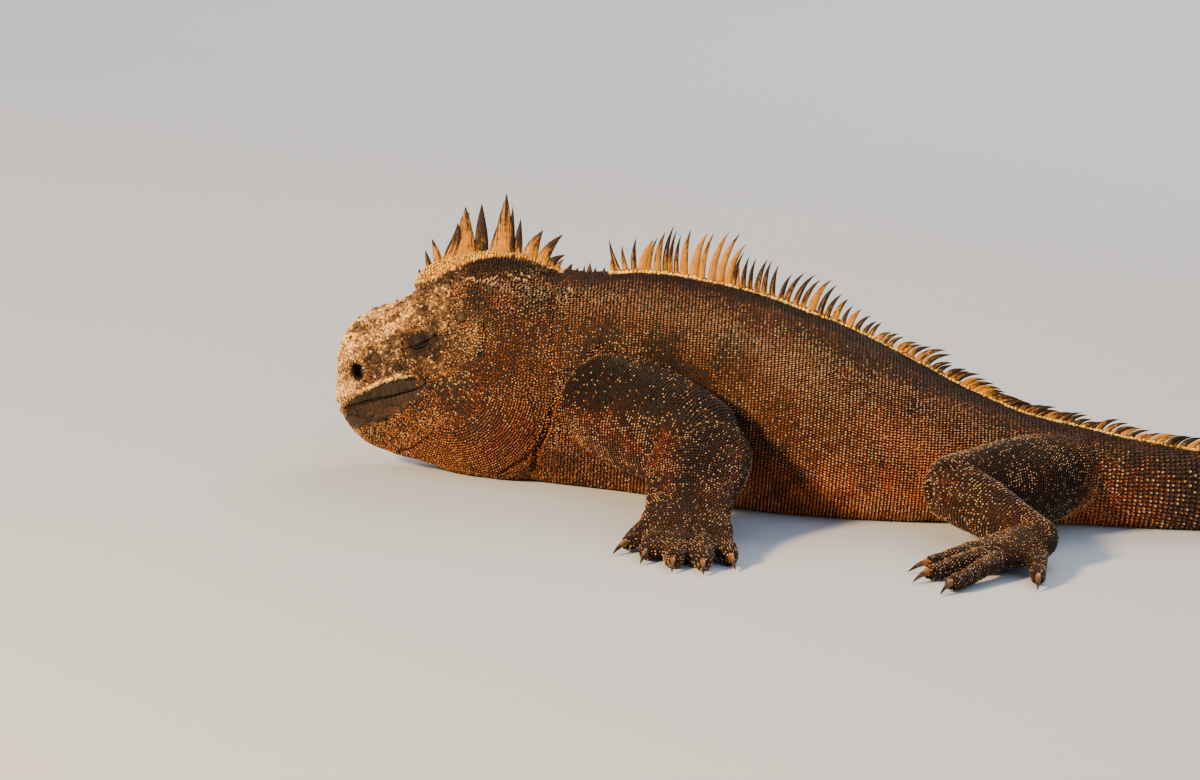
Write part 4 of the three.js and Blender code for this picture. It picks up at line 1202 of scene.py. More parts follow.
def lay_ridge_edge():
    """A jagged row of dark upright scales along the lower edge of the nape's ridge."""
    for offset in (-0.5, -2.1):
        x, z, _ = along_line(RIDGE_EDGE[1:], 1.5)
        points = side_of_head(x, z + offset + draw.normal(0, 0.3, len(x)))
        spots, ups, kept = settle(points, 8)
        lie = np.tile((0.15, 0, 1), (len(kept), 1))
        long = draw.uniform(1.8, 3, len(kept))
        coat.place(spots, ups, lie, np.column_stack([long, long * 0.55, long * 0.7]), KEELED, space=0.8)


# height above the lip's edge, pitch, size
LIP_CRAGS = [(0.2, 1.7, 1.9), (1.5, 1.5, 1.5), (-0.7, 1.3, 1.2)]


def lay_lip_edge():
    """Three uneven rows of small stumps on the raised edge over the upper lip."""
    for offset, pitch, size in LIP_CRAGS:
        x, z, lie = along_line(LIP_RIDGE[1:], pitch)
        x, z = x + draw.normal(0, 0.3, len(x)), z + offset + draw.normal(0, 0.4, len(x))
        spots, ups, kept = settle(side_of_head(x, z), 6)
        sizes = np.outer(draw.uniform(0.7, 1.3, len(kept)) * size, (1.3, 1, 0.7))
        coat.place(spots, ups, np.vstack([lie, lie])[kept], sizes, CRAG, space=0.6)


lay_lips()
lay_bosses()
lay_crest_roots()
lay_flakes()
lay_ridge_edge()
lay_lip_edge()
print("lips, bosses, crest roots and flakes:", coat.count())


# %% [markdown]
# The top and sides of the head have no rows. The snout and crown carry a crust of stumps in
# all sizes, and the cheeks small pointed grains that all lie backwards. They are thrown on
# at random, the coarse ones first, and stay only where there is room.

# %% Scattered scales
face_corners = np.array([(*f.vertices, f.vertices[-1])[:4] for f in skin_mesh.polygons])
face_areas = np.array([f.area for f in skin_mesh.polygons]) / MM**2
face_middles = np.array([f.center for f in skin_mesh.polygons]) / MM


def scattered(count, faces):
    """Random places on chosen faces, as many on each as its area earns."""
    weight = face_areas[faces] / face_areas[faces].sum()
    picked = faces[draw.choice(len(faces), count, p=weight)]
    a, b, c, d = (points_of(skin_mesh)[face_corners[picked, k]] for k in range(4))
    u, v = draw.random((2, count, 1))
    spots = (a * (1 - u) + b * u) * (1 - v) + (d * (1 - u) + c * u) * v
    return spots, skin_normals[corner_of_face[picked]]


def strew(chosen, spacing, size, kind, lie, tries, space, tilt):
    """Throws scales on the chosen faces wherever there is room for them."""
    faces = np.flatnonzero(chosen(face_middles))
    typical = float(np.median(spacing(face_middles[faces])))
    count = int(tries * face_areas[faces].sum() / typical**2)
    spots, ups = scattered(count, faces)
    ups = ups + draw.normal(0, tilt, ups.shape)
    ups = ups / np.linalg.norm(ups, axis=1, keepdims=True)
    across = spacing(spots) * draw.uniform(0.85, 1.2, count)
    sizes = np.outer(across, size)
    if kind == CRAG:
        sizes[:, 2] *= draw.uniform(0.6, 1.6, count)
    coat.place(spots, ups, lie, sizes, kind, space)


def backwards(p):
    """The way a head's scales point: back, and down the cheek."""
    return np.column_stack([np.ones(len(p)), np.zeros(len(p)), 0.25 * np.sign(p[:, 2] - 70)])


def on_lips(p):
    """The band of tall plates along the mouth."""
    x, z = p[:, 0], p[:, 2]
    mouth, ridge = off_line(x, z, MOUTH_LINE), off_line(x, z, LIP_RIDGE)
    low = -11.3 + LIP_TAPER * np.maximum(0, x + 106)
    return (mouth > low) & (ridge < -0.5) & (x > -125) & (x < -91) & (np.abs(p[:, 1]) > 8)


def bare(p, nose=1.35):
    """Where small scales leave room: the lips, the mouth, the nostrils and the open eye."""
    x, z = p[:, 0], p[:, 2]
    groove = (np.abs(off_line(x, z, MOUTH_LINE)) < 1.0) & (x < -86)
    hole = nose_ring(x, z) < nose
    along, across = eye_frame(x, z)
    slit = (np.abs(along) < 10) & (np.abs(across + 0.4) < 1.9)
    return groove | on_lips(p) | ((hole | slit) & (np.abs(p[:, 1]) > 9))


def on_lids(p):
    """The two lids of each eye."""
    along, across = eye_frame(p[:, 0], p[:, 2])
    return ((along / 8.6) ** 2 + (across / 4.9) ** 2 < 1) & (np.abs(p[:, 1]) > FACE_SIDE)


def on_snout(p):
    """The crown, the top of the snout and its side down to the lip's edge."""
    crown = (p[:, 2] + 0.5 * (p[:, 0] + 110) > 66) & (p[:, 0] < -78)
    lores = (p[:, 0] < -100) & (off_line(p[:, 0], p[:, 2], LIP_RIDGE) > 1.2)
    return (crown | lores) & ~on_lids(p) & ~on_ridge(p)


def constant(value):
    return lambda p: np.full(len(p), value)


def any_way(p):
    return draw.normal(0, 1, p.shape)


def crag_spacing(p):
    """Coarse and uneven on the snout, and finer towards the lids."""
    along, across = eye_frame(p[:, 0], p[:, 2])
    far = step_up(np.hypot(along / LID_REACH[0], across / LID_REACH[1]), 1.1, 2.2)
    return 0.95 + far * (1.25 - 1.1 * patches(p, 5))


rough_head = lambda p: on_snout(p) & ~bare(p, 2.1)
crown_knobs = lambda p: rough_head(p) & (p[:, 2] + 0.5 * (p[:, 0] + 110) > 70)
snout_gaps = lambda p: on_snout(p) & ~bare(p, 1.5)
low_lip = lambda p: on_lips(p) & (off_line(p[:, 0], p[:, 2], MOUTH_LINE) < -5.2)
upwards = lambda p: np.tile((0.2, 0, 1), (len(p), 1))
cheek = lambda p: in_head(p) & ~on_lids(p) & ~bare(p) & ~in_throat(p) & ~on_ridge(p)
cheek_spacing = lambda p: np.interp(p[:, 2], [20, 45, 75], [1.18, 1.22, 1.32])
STREWN = [
    # where, spacing, size against it, kind, the way it lies, tries, room it claims, tilt
    (crown_knobs, constant(2.5), (1.15, 1.05, 1.2), CRAG, any_way, 0.3, 1.4, 0.3),
    (rough_head, crag_spacing, (1.4, 1.3, 0.9), CRAG, any_way, 6, 0.54, 0.4),
    (snout_gaps, constant(1.0), (1.3, 1.2, 0.9), CRAG, any_way, 5, 0.6, 0.4),
    (low_lip, constant(1.5), (1.3, 1.2, 0.6), PLATE, backwards, 6, 0.62, 0.08),
    (on_ridge, constant(1.0), (1.35, 1.25, 1), KEELED, upwards, 6, 0.85, 0.0),
    (cheek, cheek_spacing, (1.35, 1.22, 1.15), KEELED, backwards, 6, 0.64, 0.1),
]
for row in STREWN:
    strew(*row)
print("head:", coat.count())


# %% [markdown]
# Under the jaw the rows of scales bend round the jaw's angle, like ripples round a stone.
# They are laid as arcs round one point, and trimmed to the throat.

# %% The throat's curved rows
THROAT_PITCH = 1.45
THROAT_SPACING = 1.25
THROAT_START, THROAT_SWEEP = -2.3, 2.4


def lay_throat():
    for i, radius in enumerate(np.arange(17, 64, THROAT_PITCH)):
        count = int(radius * THROAT_SWEEP / THROAT_SPACING)
        angle = THROAT_START + THROAT_SWEEP * (np.arange(count) + 0.5 * (i % 2)) / count
        x, z = THROAT_X + radius * np.cos(angle), THROAT_Z + radius * np.sin(angle)
        low = section_at(x)[1]
        keep = z > low + 0.5
        x, z, angle = x[keep], z[keep], angle[keep]
        if len(x) == 0:
            continue
        points = side_of_head(x, z)
        points = points + draw.normal(0, 0.12, points.shape)
        lie = np.column_stack([-np.sin(angle), np.zeros(len(x)), np.cos(angle)])
        inside = in_throat(points)
        spots, ups, kept = settle(points[inside], 5)
        if len(kept):
            lies = np.vstack([lie, lie])[inside][kept]
            sizes = np.outer(draw.uniform(0.92, 1.1, len(kept)), (1.45, 1.3, 1.2))
            coat.place(spots, ups, lies, sizes, KEELED, space=0.56)


lay_throat()
print("throat:", coat.count())


# %% [markdown]
# Behind the head the rings are loose at first, grow regular over the back, and on the tail
# are larger and nearly square, as on the animal. The same rings run round arms, legs and
# digits.

# %% Rings round the trunk and tail
# from, to, how uneven
TRUNK_RUNS = [(-72, -20, 0.2), (-20, 10, 0.13), (10, VENT + TAIL_LENGTH, 0.06)]


def lay_trunk():
    keep = lambda p: ~in_throat(p) & ~in_head(p) & ~on_ridge(p)
    for start, stop, jitter in TRUNK_RUNS:
        shares = even_shares(trunk_point, body_pitch, share_at(start), share_at(stop) - 5e-4)
        lay_rings(trunk_point, shares, body_spacing, (1.12, 1.15, 1.15), jitter, keep)


lay_trunk()
print("trunk:", coat.count())


# %% Rings round the limbs
def lay_tube(rows, pitch, span, spacing, size, jitter, reach):
    place = lambda s, a: limb_point(rows, s, a)
    shares = even_shares(place, lambda s: pitch, *span)
    lay_rings(place, shares, lambda s: spacing, size, jitter, reach=reach)


for plan in LIMBS.values():
    for rows in plan["tubes"]:
        lay_tube(rows, 1.7, (0.02, 0.97), 1.4, (1.15, 1.15, 1.1), jitter=0.09, reach=2.2)
    for _, _, _, rows in digit_rows(plan):
        lay_tube(rows, 1.75, (0.1, 0.92), 1.5, (1.2, 1, 0.95), jitter=0.06, reach=2)
print("limbs:", coat.count())


# %% [markdown]
# Where rings of two tubes meet, at elbows, knees and folds, bare wedges are left. On the
# animal small scales fill such places, so small scales are thrown in there.

# %% Fill what is left
def nearest_on(path, p):
    """For each place, the index of the nearest point of a path."""
    tree = KDTree(len(path))
    for i, spot in enumerate(path):
        tree.insert(Vector(spot), i)
    tree.balance()
    return np.array([tree.find(Vector(spot))[1] for spot in p])


def fill_gaps():
    """The scales between rows lie the way of the nearest scale in a row."""
    placed, lies = coat.all("spot"), coat.all("lie")
    follow = lambda p: lies[nearest_on(placed, p)]
    open_skin = lambda p: ~bare(p) & ~on_lids(p) & (p[:, 2] > LOWEST_SCALE)
    spacing = lambda p: np.where((p[:, 0] > VENT) & (limb_share(p) < 0.5), 2.4, 1.35)
    strew(open_skin, spacing, (1.3, 1.15, 1.1), KEELED, follow, tries=2.5, space=0.74, tilt=0.0)


fill_gaps()
print("scales in all:", coat.count())

# %% [markdown]
# ## Shapes of scale
# A keeled scale is a low roof whose ridge runs back to a raised point, and a flake has the
# same shape, drawn out long and thin. A plate is nearly flat, for the lips. Three uneven
# stumps make up the snout's crust, and a dome is a temple's boss. Each is a few faces only,
# because there are eighty thousand. rise tells the material how high on the scale it is.

# %% Scale shapes
def keeled_shape():
    """A low roof over a sunk six-sided foot: its ridge runs back to a raised point."""
    turns = [math.pi * (j + 0.5) / 3 for j in range(6)]
    spots = [(0.62 * math.cos(turn), 0.62 * math.sin(turn), -0.12) for turn in turns]
    spots += [(-0.2, 0, 0.2), (0.42, 0, 0.42)]
    front, point = 6, 7
    faces = [(5, 0, point), (0, 1, point), (1, 2, front, point), (2, 3, front)]
    faces += [(3, 4, front), (4, 5, point, front), (5, 4, 3, 2, 1, 0)]
    return spots, faces, [0.0] * 6 + [0.45, 1.0], False


def plate_shape():
    """A nearly flat plate with blunt corners and a soft edge."""
    spots, rises = [], []
    rings = ((0.51, 0.44, -0.3, 0.3), (0.49, 0.42, 0.06, 0.5), (0.38, 0.32, 0.16, 0.7))
    for reach, blunt, high, rise in rings:
        corners = [(reach, -blunt), (reach, blunt), (blunt, reach), (-blunt, reach)]
        corners += [(-reach, blunt), (-reach, -blunt), (-blunt, -reach), (blunt, -reach)]
        spots += [(x, y, high) for x, y in corners]
        rises += [rise] * 8
    faces = [tuple(reversed(range(8))), tuple(range(16, 24)), *wall(8, 2)]
    return spots, faces, rises, True


def crag_shape(seed):
    """An uneven stump of horn with five flat sides and a blunt top off its middle."""
    dice = np.random.default_rng(seed)
    spots, rises = [], []
    for radius, high, rise in ((0.6, -0.35, 0.0), (0.45, 0.22, 0.55)):
        for j in range(5):
            turn = 2 * math.pi * (j + dice.uniform(-0.22, 0.22)) / 5
            reach = radius * dice.uniform(0.78, 1.2)
            rough = dice.uniform(-0.12, 0.12) * (rise > 0)
            spots.append((reach * math.cos(turn), reach * math.sin(turn), high + rough))
            rises.append(rise)
    spots.append((dice.uniform(-0.15, 0.2), dice.uniform(-0.15, 0.15), dice.uniform(0.42, 0.62)))
    faces = [tuple(reversed(range(5)))]
    for j in range(5):
        k = (j + 1) % 5
        faces += [(j, k, k + 5, j + 5), (j + 5, k + 5, 10)]
    return spots, faces, rises + [1.0], False


def dome_shape():
    """A smooth low dome."""
    spots, rises = [], []
    for k, (radius, high) in enumerate(((0.5, -0.3), (0.47, 0.1), (0.36, 0.34), (0.17, 0.47))):
        turns = [2 * math.pi * j / 10 for j in range(10)]
        spots += [(radius * math.cos(turn), radius * math.sin(turn), high) for turn in turns]
        rises += [k / 4] * 10
    faces = [tuple(reversed(range(10))), *wall(10, 3)]
    faces += [(30 + j, 30 + (j + 1) % 10, 40) for j in range(10)]
    return spots + [(0, 0, 0.5)], faces, rises + [1.0], True


SHAPES = {
    "scale_0_keeled": keeled_shape(),
    "scale_1_plate": plate_shape(),
    "scale_2_crag": crag_shape(1),
    "scale_3_crag": crag_shape(2),
    "scale_4_crag": crag_shape(5),
    "scale_5_flake": keeled_shape(),
    "scale_6_dome": dome_shape(),
}
# How much of its piece's map a scale takes up.
PATCH = 0.0015
shapes = bpy.data.collections.new("scale_shapes")
for name, (spots, faces, rises, smooth) in SHAPES.items():
    shape = mesh_of(name, np.array(spots), faces)
    shape.polygons.foreach_set("use_smooth", [smooth] * len(faces))
    write(shape, "rise", rises, "FLOAT")
    write(shape, "patch", np.array(spots) * (PATCH, PATCH, 0), "FLOAT_VECTOR")
    shapes.objects.link(bpy.data.objects.new(name, shape))

# %% [markdown]
# ## Setting the scales on the skin
# A Geometry Nodes tree puts one shape on each point, turned so that it stands on the skin and
# points along the body, and sized by the point's attributes. It also gives each scale a small
# patch of the piece's own map, at the scale's place on an unwrapped skin.


# %% Geometry Nodes tree
def scale_tree():
    tree = bpy.data.node_groups.new("set scales", "GeometryNodeTree")
    tree.interface.new_socket("Points", in_out="INPUT", socket_type="NodeSocketGeometry")
    tree.interface.new_socket("Shapes", in_out="INPUT", socket_type="NodeSocketCollection")
    tree.interface.new_socket("Material", in_out="INPUT", socket_type="NodeSocketMaterial")
    tree.interface.new_socket("Scales", in_out="OUTPUT", socket_type="NodeSocketGeometry")
    given = add(tree, "NodeGroupInput")

    def named(name, kind="FLOAT_VECTOR"):
        node = add(tree, "GeometryNodeInputNamedAttribute", {"Name": name}, data_type=kind)
        return next(s for s in node.outputs if s.enabled and s.name == "Attribute")

    parts = {"Collection": given.outputs["Shapes"], "Separate Children": True}
    info = add(tree, "GeometryNodeCollectionInfo", parts)
    axes = {0: named("up"), 1: named("lie")}
    turn = add(tree, "FunctionNodeAxesToRotation", axes, primary_axis="Z", secondary_axis="X")
    cloud = add(tree, "GeometryNodeMeshToPoints", {"Mesh": given.outputs["Points"]})
    setting = {
        "Points": cloud.outputs["Points"],
        "Instance": info.outputs[0],
        "Pick Instance": True,
        "Instance Index": named("kind", "INT"),
        "Rotation": turn.outputs[0],
        "Scale": named("size"),
    }
    placed = add(tree, "GeometryNodeInstanceOnPoints", setting)
    real = add(tree, "GeometryNodeRealizeInstances", {"Geometry": placed.outputs[0]})
    both = {0: named("root"), 1: named("patch")}
    patch = add(tree, "ShaderNodeVectorMath", both, operation="ADD")
    stored = {"Geometry": real.outputs[0], "Name": "OFBake", "Value": patch.outputs[0]}
    mapped = add(tree, "GeometryNodeStoreNamedAttribute", stored, data_type="FLOAT2", domain="CORNER")
    dressed = {"Geometry": mapped.outputs[0], "Material": given.outputs["Material"]}
    finished = add(tree, "GeometryNodeSetMaterial", dressed)
    add(tree, "NodeGroupOutput", {"Scales": finished.outputs[0]})
    return tree


set_scales = scale_tree()


# %% [markdown]
# Each scale's patch lies in its piece's own map. The trunk's skin is unrolled like a
# hide, along the body and round it, and each tube of a limb gets a strip of its own. So
# neighbours on the body are neighbours on the map.

# %% The unwrap that the scales' map follows
LANE_STEPS = 60


def unwrap_trunk(p, start, stop):
    at, _, _ = body_place(p)
    side = (p[:, 1] - midline(at)[:, 1]) * np.cos(heading(at))
    turn = np.arctan2(p[:, 2] - section_at(at)[3], side)
    u = (at - start) / (stop - start)
    return np.column_stack([u, ((turn + math.pi / 2) / (2 * math.pi)) % 1])


def unwrap_limb(p, plan):
    """Each tube of a limb has its own strip of the map."""
    paths = [np.array(rows) for rows in plan["tubes"]]
    paths += [rows for _, _, _, rows in digit_rows(plan)]
    lanes = [smooth_rows(rows, np.linspace(0, 1, LANE_STEPS)) for rows in paths]
    spots = np.vstack([lane[:, :3] for lane in lanes])
    index = nearest_on(spots, p)
    lane, step = index // LANE_STEPS, index % LANE_STEPS
    core = spots[index]
    ahead = spots[np.minimum(index + 1, len(spots) - 1)] - spots[np.maximum(index - 1, 0)]
    side = np.column_stack([-ahead[:, 1], ahead[:, 0]])
    side /= np.linalg.norm(side, axis=1, keepdims=True) + 1e-9
    level = ((p - core)[:, :2] * side).sum(axis=1)
    turn = np.arctan2(p[:, 2] - core[:, 2], level) / (2 * math.pi) % 1
    return np.column_stack([(step + draw.random(len(p))) / LANE_STEPS, (lane + turn) / len(lanes)])


# %% [markdown]
# A scale is horn over living skin. Its root is painted dark as painted shade between the scales,
# and its point is painted bright as a painted highlight. So the colour goes from mark at the root
# to tip at the point, by the height on the scale. A fine noise gives the uneven surface of the
# horn. It is drawn coarser than the real grain of under 0.1 mm, so that a map can hold it.

# %% Materials of the scales
def painted(name):
    material = bpy.data.materials.new(name)
    material.use_nodes = True
    material.node_tree.nodes.clear()
    return material, material.node_tree


def scale_material(name, gap, bright, rough, grain):
    """gap is the light left at a scale's root, as painted shade between scales, and bright where the painted
    highlight towards the point starts and ends.
    """
    material, tree = painted(name)
    place = add(tree, "ShaderNodeTexCoord").outputs["Object"]
    mark = add(tree, "ShaderNodeAttribute", attribute_name="mark").outputs["Color"]
    tip = add(tree, "ShaderNodeAttribute", attribute_name="tip").outputs["Color"]
    rise = add(tree, "ShaderNodeAttribute", attribute_name="rise").outputs["Fac"]
    grains = {"Vector": place, "Scale": 900.0, "Detail": 3.0}
    fleck = add(tree, "ShaderNodeTexNoise", grains).outputs["Fac"]
    # Painted shade: the colour is darker towards the scale's root.
    gap_shade = {"Value": rise, "From Min": 0.0, "From Max": 0.6, "To Min": gap, "To Max": 1.0}
    light = add(tree, "ShaderNodeMapRange", gap_shade).outputs["Result"]
    flecked = add(tree, "ShaderNodeMath", {0: fleck, 1: 0.5}, operation="ADD").outputs[0]
    light = add(tree, "ShaderNodeMath", {0: light, 1: flecked}, operation="MULTIPLY").outputs[0]
    lit = {0: 1.0, 6: mark, 7: light}
    shaded = add(tree, "ShaderNodeMix", lit, data_type="RGBA", blend_type="MULTIPLY").outputs[2]
    # Painted highlight: the brighter tip colour takes over towards the point.
    highlight_rise = {"Value": rise, "From Min": bright[0], "From Max": bright[1], "To Min": 0.0, "To Max": 1.0}
    wear = add(tree, "ShaderNodeMapRange", highlight_rise).outputs["Result"]
    colour = add(tree, "ShaderNodeMix", {0: wear, 6: shaded, 7: tip}, data_type="RGBA").outputs[2]
    uneven = {"Height": fleck, "Strength": grain, "Distance": 0.0003}
    bump = add(tree, "ShaderNodeBump", uneven).outputs["Normal"]
    dull = {0: fleck, 1: 0.3, 2: rough - 0.15}
    roughness = add(tree, "ShaderNodeMath", dull, operation="MULTIPLY_ADD").outputs[0]
    surface = {"Base Color": colour, "Roughness": roughness, "Normal": bump, "Specular IOR Level": 0.3}
    shader = add(tree, "ShaderNodeBsdfPrincipled", surface)
    add(tree, "ShaderNodeOutputMaterial", {"Surface": shader.outputs[0]})
    return material


# The head's horn is stony and dusty with salt, which the eye reads as rough and dry.
head_scales = scale_material("horny head scales", 0.1, (0.4, 1.0), 0.7, 0.8)
# The trunk's keeled scales have a satin sheen, and their roots are painted dark as shade between them.
body_scales = scale_material("keeled body scales", 0.1, (0.45, 0.95), 0.5, 0.3)
# The limbs' scales are darker and a little glossier, as they rub smooth on rock.
limb_scales = scale_material("limb scales", 0.1, (0.45, 0.95), 0.55, 0.3)
# The tail's scales are larger, squared and dull.
tail_scales = scale_material("tail scales", 0.25, (0.5, 0.95), 0.55, 0.3)

# %% [markdown]
# Old scales are bleached and chipped and new ones dark, so no two neighbours are alike. Each
# scale gets the markings' colour at its place, a little lighter or darker. Its body is painted
# darker as painted shade and its point brighter as a painted highlight, and the point may be
# cream or orange, partly pale and orange scales and partly a painted highlight. Each region of the
# body is one piece of coat, so that none is too heavy and each has a map of its own.

# %% All scales together
spot_rows, up_rows, lie_rows = coat.all("spot"), coat.all("up"), coat.all("lie")
size_rows, kind_rows = coat.all("size"), coat.all("kind")
kind_rows = np.where(kind_rows == CRAG, CRAG + draw.integers(0, 3, len(kind_rows)), kind_rows)


# %% Colours of single scales
def scale_colours():
    """For each scale, the colour of its body, painted darker as shade, and that of its point, painted
    brighter as a highlight.
    """
    count = len(spot_rows)
    plate, flake, boss = kind_rows == PLATE, kind_rows == FLAKE, kind_rows == DOME
    ridge = on_ridge(spot_rows) & (kind_rows == KEELED)
    strong, soft = 0.35 + 1.3 * patches(spot_rows + 90, 3), 0.7 + 0.6 * patches(spot_rows + 90, 5)
    mottle = np.where(on_snout(spot_rows) | plate, strong, soft)
    mark = markings(spot_rows) * mottle[:, None]
    even = np.where(plate, 0.15, 1)
    base = mark * np.exp(draw.normal(0, 0.35, count) * even)[:, None]
    stony = on_snout(spot_rows) & ~plate
    # Painted shade: the scale's body is darker than the markings.
    base = base * np.select([plate | ridge, stony], [1, 0.65], 0.6)[:, None]
    # Painted highlight: the point is a brighter copy of the markings.
    brighter = np.select([plate, ridge, stony], [1.15, 1.2, 2.0], 3.4)
    tip = mark * (brighter * np.exp(draw.normal(0, 0.65, count) * even))[:, None] * (1, 1.04, 0.85)
    cream = np.where(plate, 0, cream_chance(spot_rows))
    ember = np.where(plate, 0, ember_chance(spot_rows))
    dice = draw.random(count)
    strength = draw.uniform(0.5, 1, count)[:, None]
    # Cream and orange points: partly the scales' own colour, partly a painted highlight.
    for code, low, high in ((CREAM, 0, cream), (EMBER, cream, cream + ember)):
        chosen = ((dice >= low) & (dice < high))[:, None]
        tip = np.where(chosen, tip * (1 - strength) + np.array(linear(code)[:3]) * strength, tip)
    # Flakes and bosses: a darker copy on the body and the full colour at the point, as painted shade and
    # highlight.
    for chosen, code, shade in ((flake, CREAM, 0.5), (boss, BOSS, 0.5)):
        colour = np.array(linear(code)[:3])
        base = np.where(chosen[:, None], colour * shade, base)
        tip = np.where(chosen[:, None], colour, tip)
    return np.minimum(base, 1), np.minimum(tip, 1)


base_rows, tip_rows = scale_colours()

# %% Pieces by region
# The arms lie ahead of this place along the body, and the legs behind it.
MIDDLE = 125
MAP_MARGIN = 0.004


def limb_of(p):
    """The index of the limb that a place is on, or -1 on the trunk."""
    on = limb_share(p) > 0.5
    number = np.where(p[:, 0] < MIDDLE, 0, 2) + (p[:, 1] > 0)
    return np.where(on, number, -1)


def coat_piece(name, chosen, root, material, slot):
    """Sets the chosen scales as real mesh; root gives their places on the piece's map."""
    index = np.flatnonzero(chosen)
    cloud = mesh_of(name + "_points", spot_rows[index], [])
    flat = np.zeros((len(index), 3))
    flat[:, :2] = np.clip(root(spot_rows[index]), MAP_MARGIN, 1 - MAP_MARGIN)
    write(cloud, "root", flat, "FLOAT_VECTOR")
    for key, rows in (("up", up_rows), ("lie", lie_rows), ("size", size_rows)):
        write(cloud, key, rows[index], "FLOAT_VECTOR")
    for key, rows in (("mark", base_rows), ("tip", tip_rows)):
        write(cloud, key, np.column_stack([rows[index], np.ones(len(index))]), "FLOAT_COLOR")
    write(cloud, "kind", kind_rows[index], "INT")
    thing = show(cloud, name + "_cloud")
    setter = thing.modifiers.new("scales", "NODES")
    setter.node_group = set_scales
    for socket in set_scales.interface.items_tree:
        if socket.name == "Shapes":
            setter[socket.identifier] = shapes
        if socket.name == "Material":
            setter[socket.identifier] = material
    made = bpy.data.meshes.new_from_object(
        thing.evaluated_get(bpy.context.evaluated_depsgraph_get())
    )
    bpy.data.objects.remove(thing)
    for extra in ("up", "lie", "size", "root", "patch", "kind"):
        if extra in made.attributes:
            made.attributes.remove(made.attributes[extra])
    piece = show(made, name)
    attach(piece, "root")
    triangles = sum(len(f.vertices) - 2 for f in made.polygons)
    print(name, len(index), "scales", triangles, "triangles", [u.name for u in made.uv_layers])


limbs = limb_of(spot_rows)
at_rows = body_place(spot_rows)[0]
RUNS = [
    # name, from, to, material, slot
    ("head_scales", -140, -62, head_scales, "head_skin"),
    ("neck_scales", -62, -18, body_scales, "throat_skin"),
    ("shoulder_scales", -18, 74, body_scales, "body_skin"),
    ("flank_scales", 74, 150, body_scales, "body_skin"),
    ("loin_scales", 150, VENT, body_scales, "body_skin"),
    ("tail_scales", VENT, 900, tail_scales, "tail_skin"),
]
for name, start, stop, material, slot in RUNS:
    chosen = (limbs < 0) & (at_rows >= start) & (at_rows < stop)
    coat_piece(name, chosen, lambda p, a=start, b=stop: unwrap_trunk(p, a, b), material, slot)
for number, (name, plan) in enumerate(LIMBS.items()):
    unwrap = lambda p, limb=plan: unwrap_limb(p, limb)
    coat_piece(name + "_scales", limbs == number, unwrap, limb_scales, "limb_skin")

# %% [markdown]
# ## The skin's finish
# Between the scales the skin is painted dark, as the scales' shade, and dull. It carries the same
# markings as the scales, and its own fine pebbling, painted darker between the pebbles as shade,
# so that the lids, the lips and the folds read as skin.


# %% Skin
def skin_material():
    """Thin, dark, granular hide: pebbles of 1.1 mm, painted darker between them as shade, under fine dust."""
    material, tree = painted("granular hide")
    place = add(tree, "ShaderNodeTexCoord").outputs["Object"]
    mark = add(tree, "ShaderNodeAttribute", attribute_name="mark").outputs["Color"]
    pebbles = {"Vector": place, "Scale": 900.0}
    cells = add(tree, "ShaderNodeTexVoronoi", pebbles).outputs["Distance"]
    dust = add(tree, "ShaderNodeTexNoise", {"Vector": place, "Scale": 260.0, "Detail": 4.0})
    # Painted shade: darker between the pebbles.
    gap_shade = {0: cells, 1: -0.5, 2: 0.7}
    light = add(tree, "ShaderNodeMath", gap_shade, operation="MULTIPLY_ADD").outputs[0]
    lit = {0: 1.0, 6: mark, 7: light}
    shaded = add(tree, "ShaderNodeMix", lit, data_type="RGBA", blend_type="MULTIPLY").outputs[2]
    both = {0: cells, 1: dust.outputs["Fac"]}
    height = add(tree, "ShaderNodeMath", both, operation="ADD").outputs[0]
    uneven = {"Height": height, "Strength": 0.5, "Distance": 0.0004}
    bump = add(tree, "ShaderNodeBump", uneven).outputs["Normal"]
    surface = {"Base Color": shaded, "Roughness": 0.62, "Normal": bump, "Specular IOR Level": 0.2}
    shader = add(tree, "ShaderNodeBsdfPrincipled", surface)
    add(tree, "ShaderNodeOutputMaterial", {"Surface": shader.outputs[0]})
    return material


# Lids and lips show their own skin. Elsewhere the skin is painted darker by SHADE, as the scales' shade.
SHADE = 0.32
skin_points = points_of(skin_mesh)
shown = on_lids(skin_points) | on_lips(skin_points)
skin_tones = markings(skin_points) * np.where(shown, 1, SHADE)[:, None]
write(skin_mesh, "mark", np.column_stack([skin_tones, np.ones(len(skin_tones))]), "FLOAT_COLOR")
skin = show(skin_mesh, "skin", skin_material())
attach(skin, "root")
FLESH = [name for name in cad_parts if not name.startswith("eye")]
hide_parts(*FLESH)

# %% [markdown]
# ## The crest
# The crest's spines are long flattened scales of horn. The nape's are tall and uneven, and
# stand on a fleshy ridge. Those of the back are a close row that leans further back towards
# the tail. All that the photo shows are laid one by one as it shows them, and the rest of
# the row, over the hips and tail, follows them at random within limits. Each spine is a
# lens in section, drawn along a curve from its root to its tip.

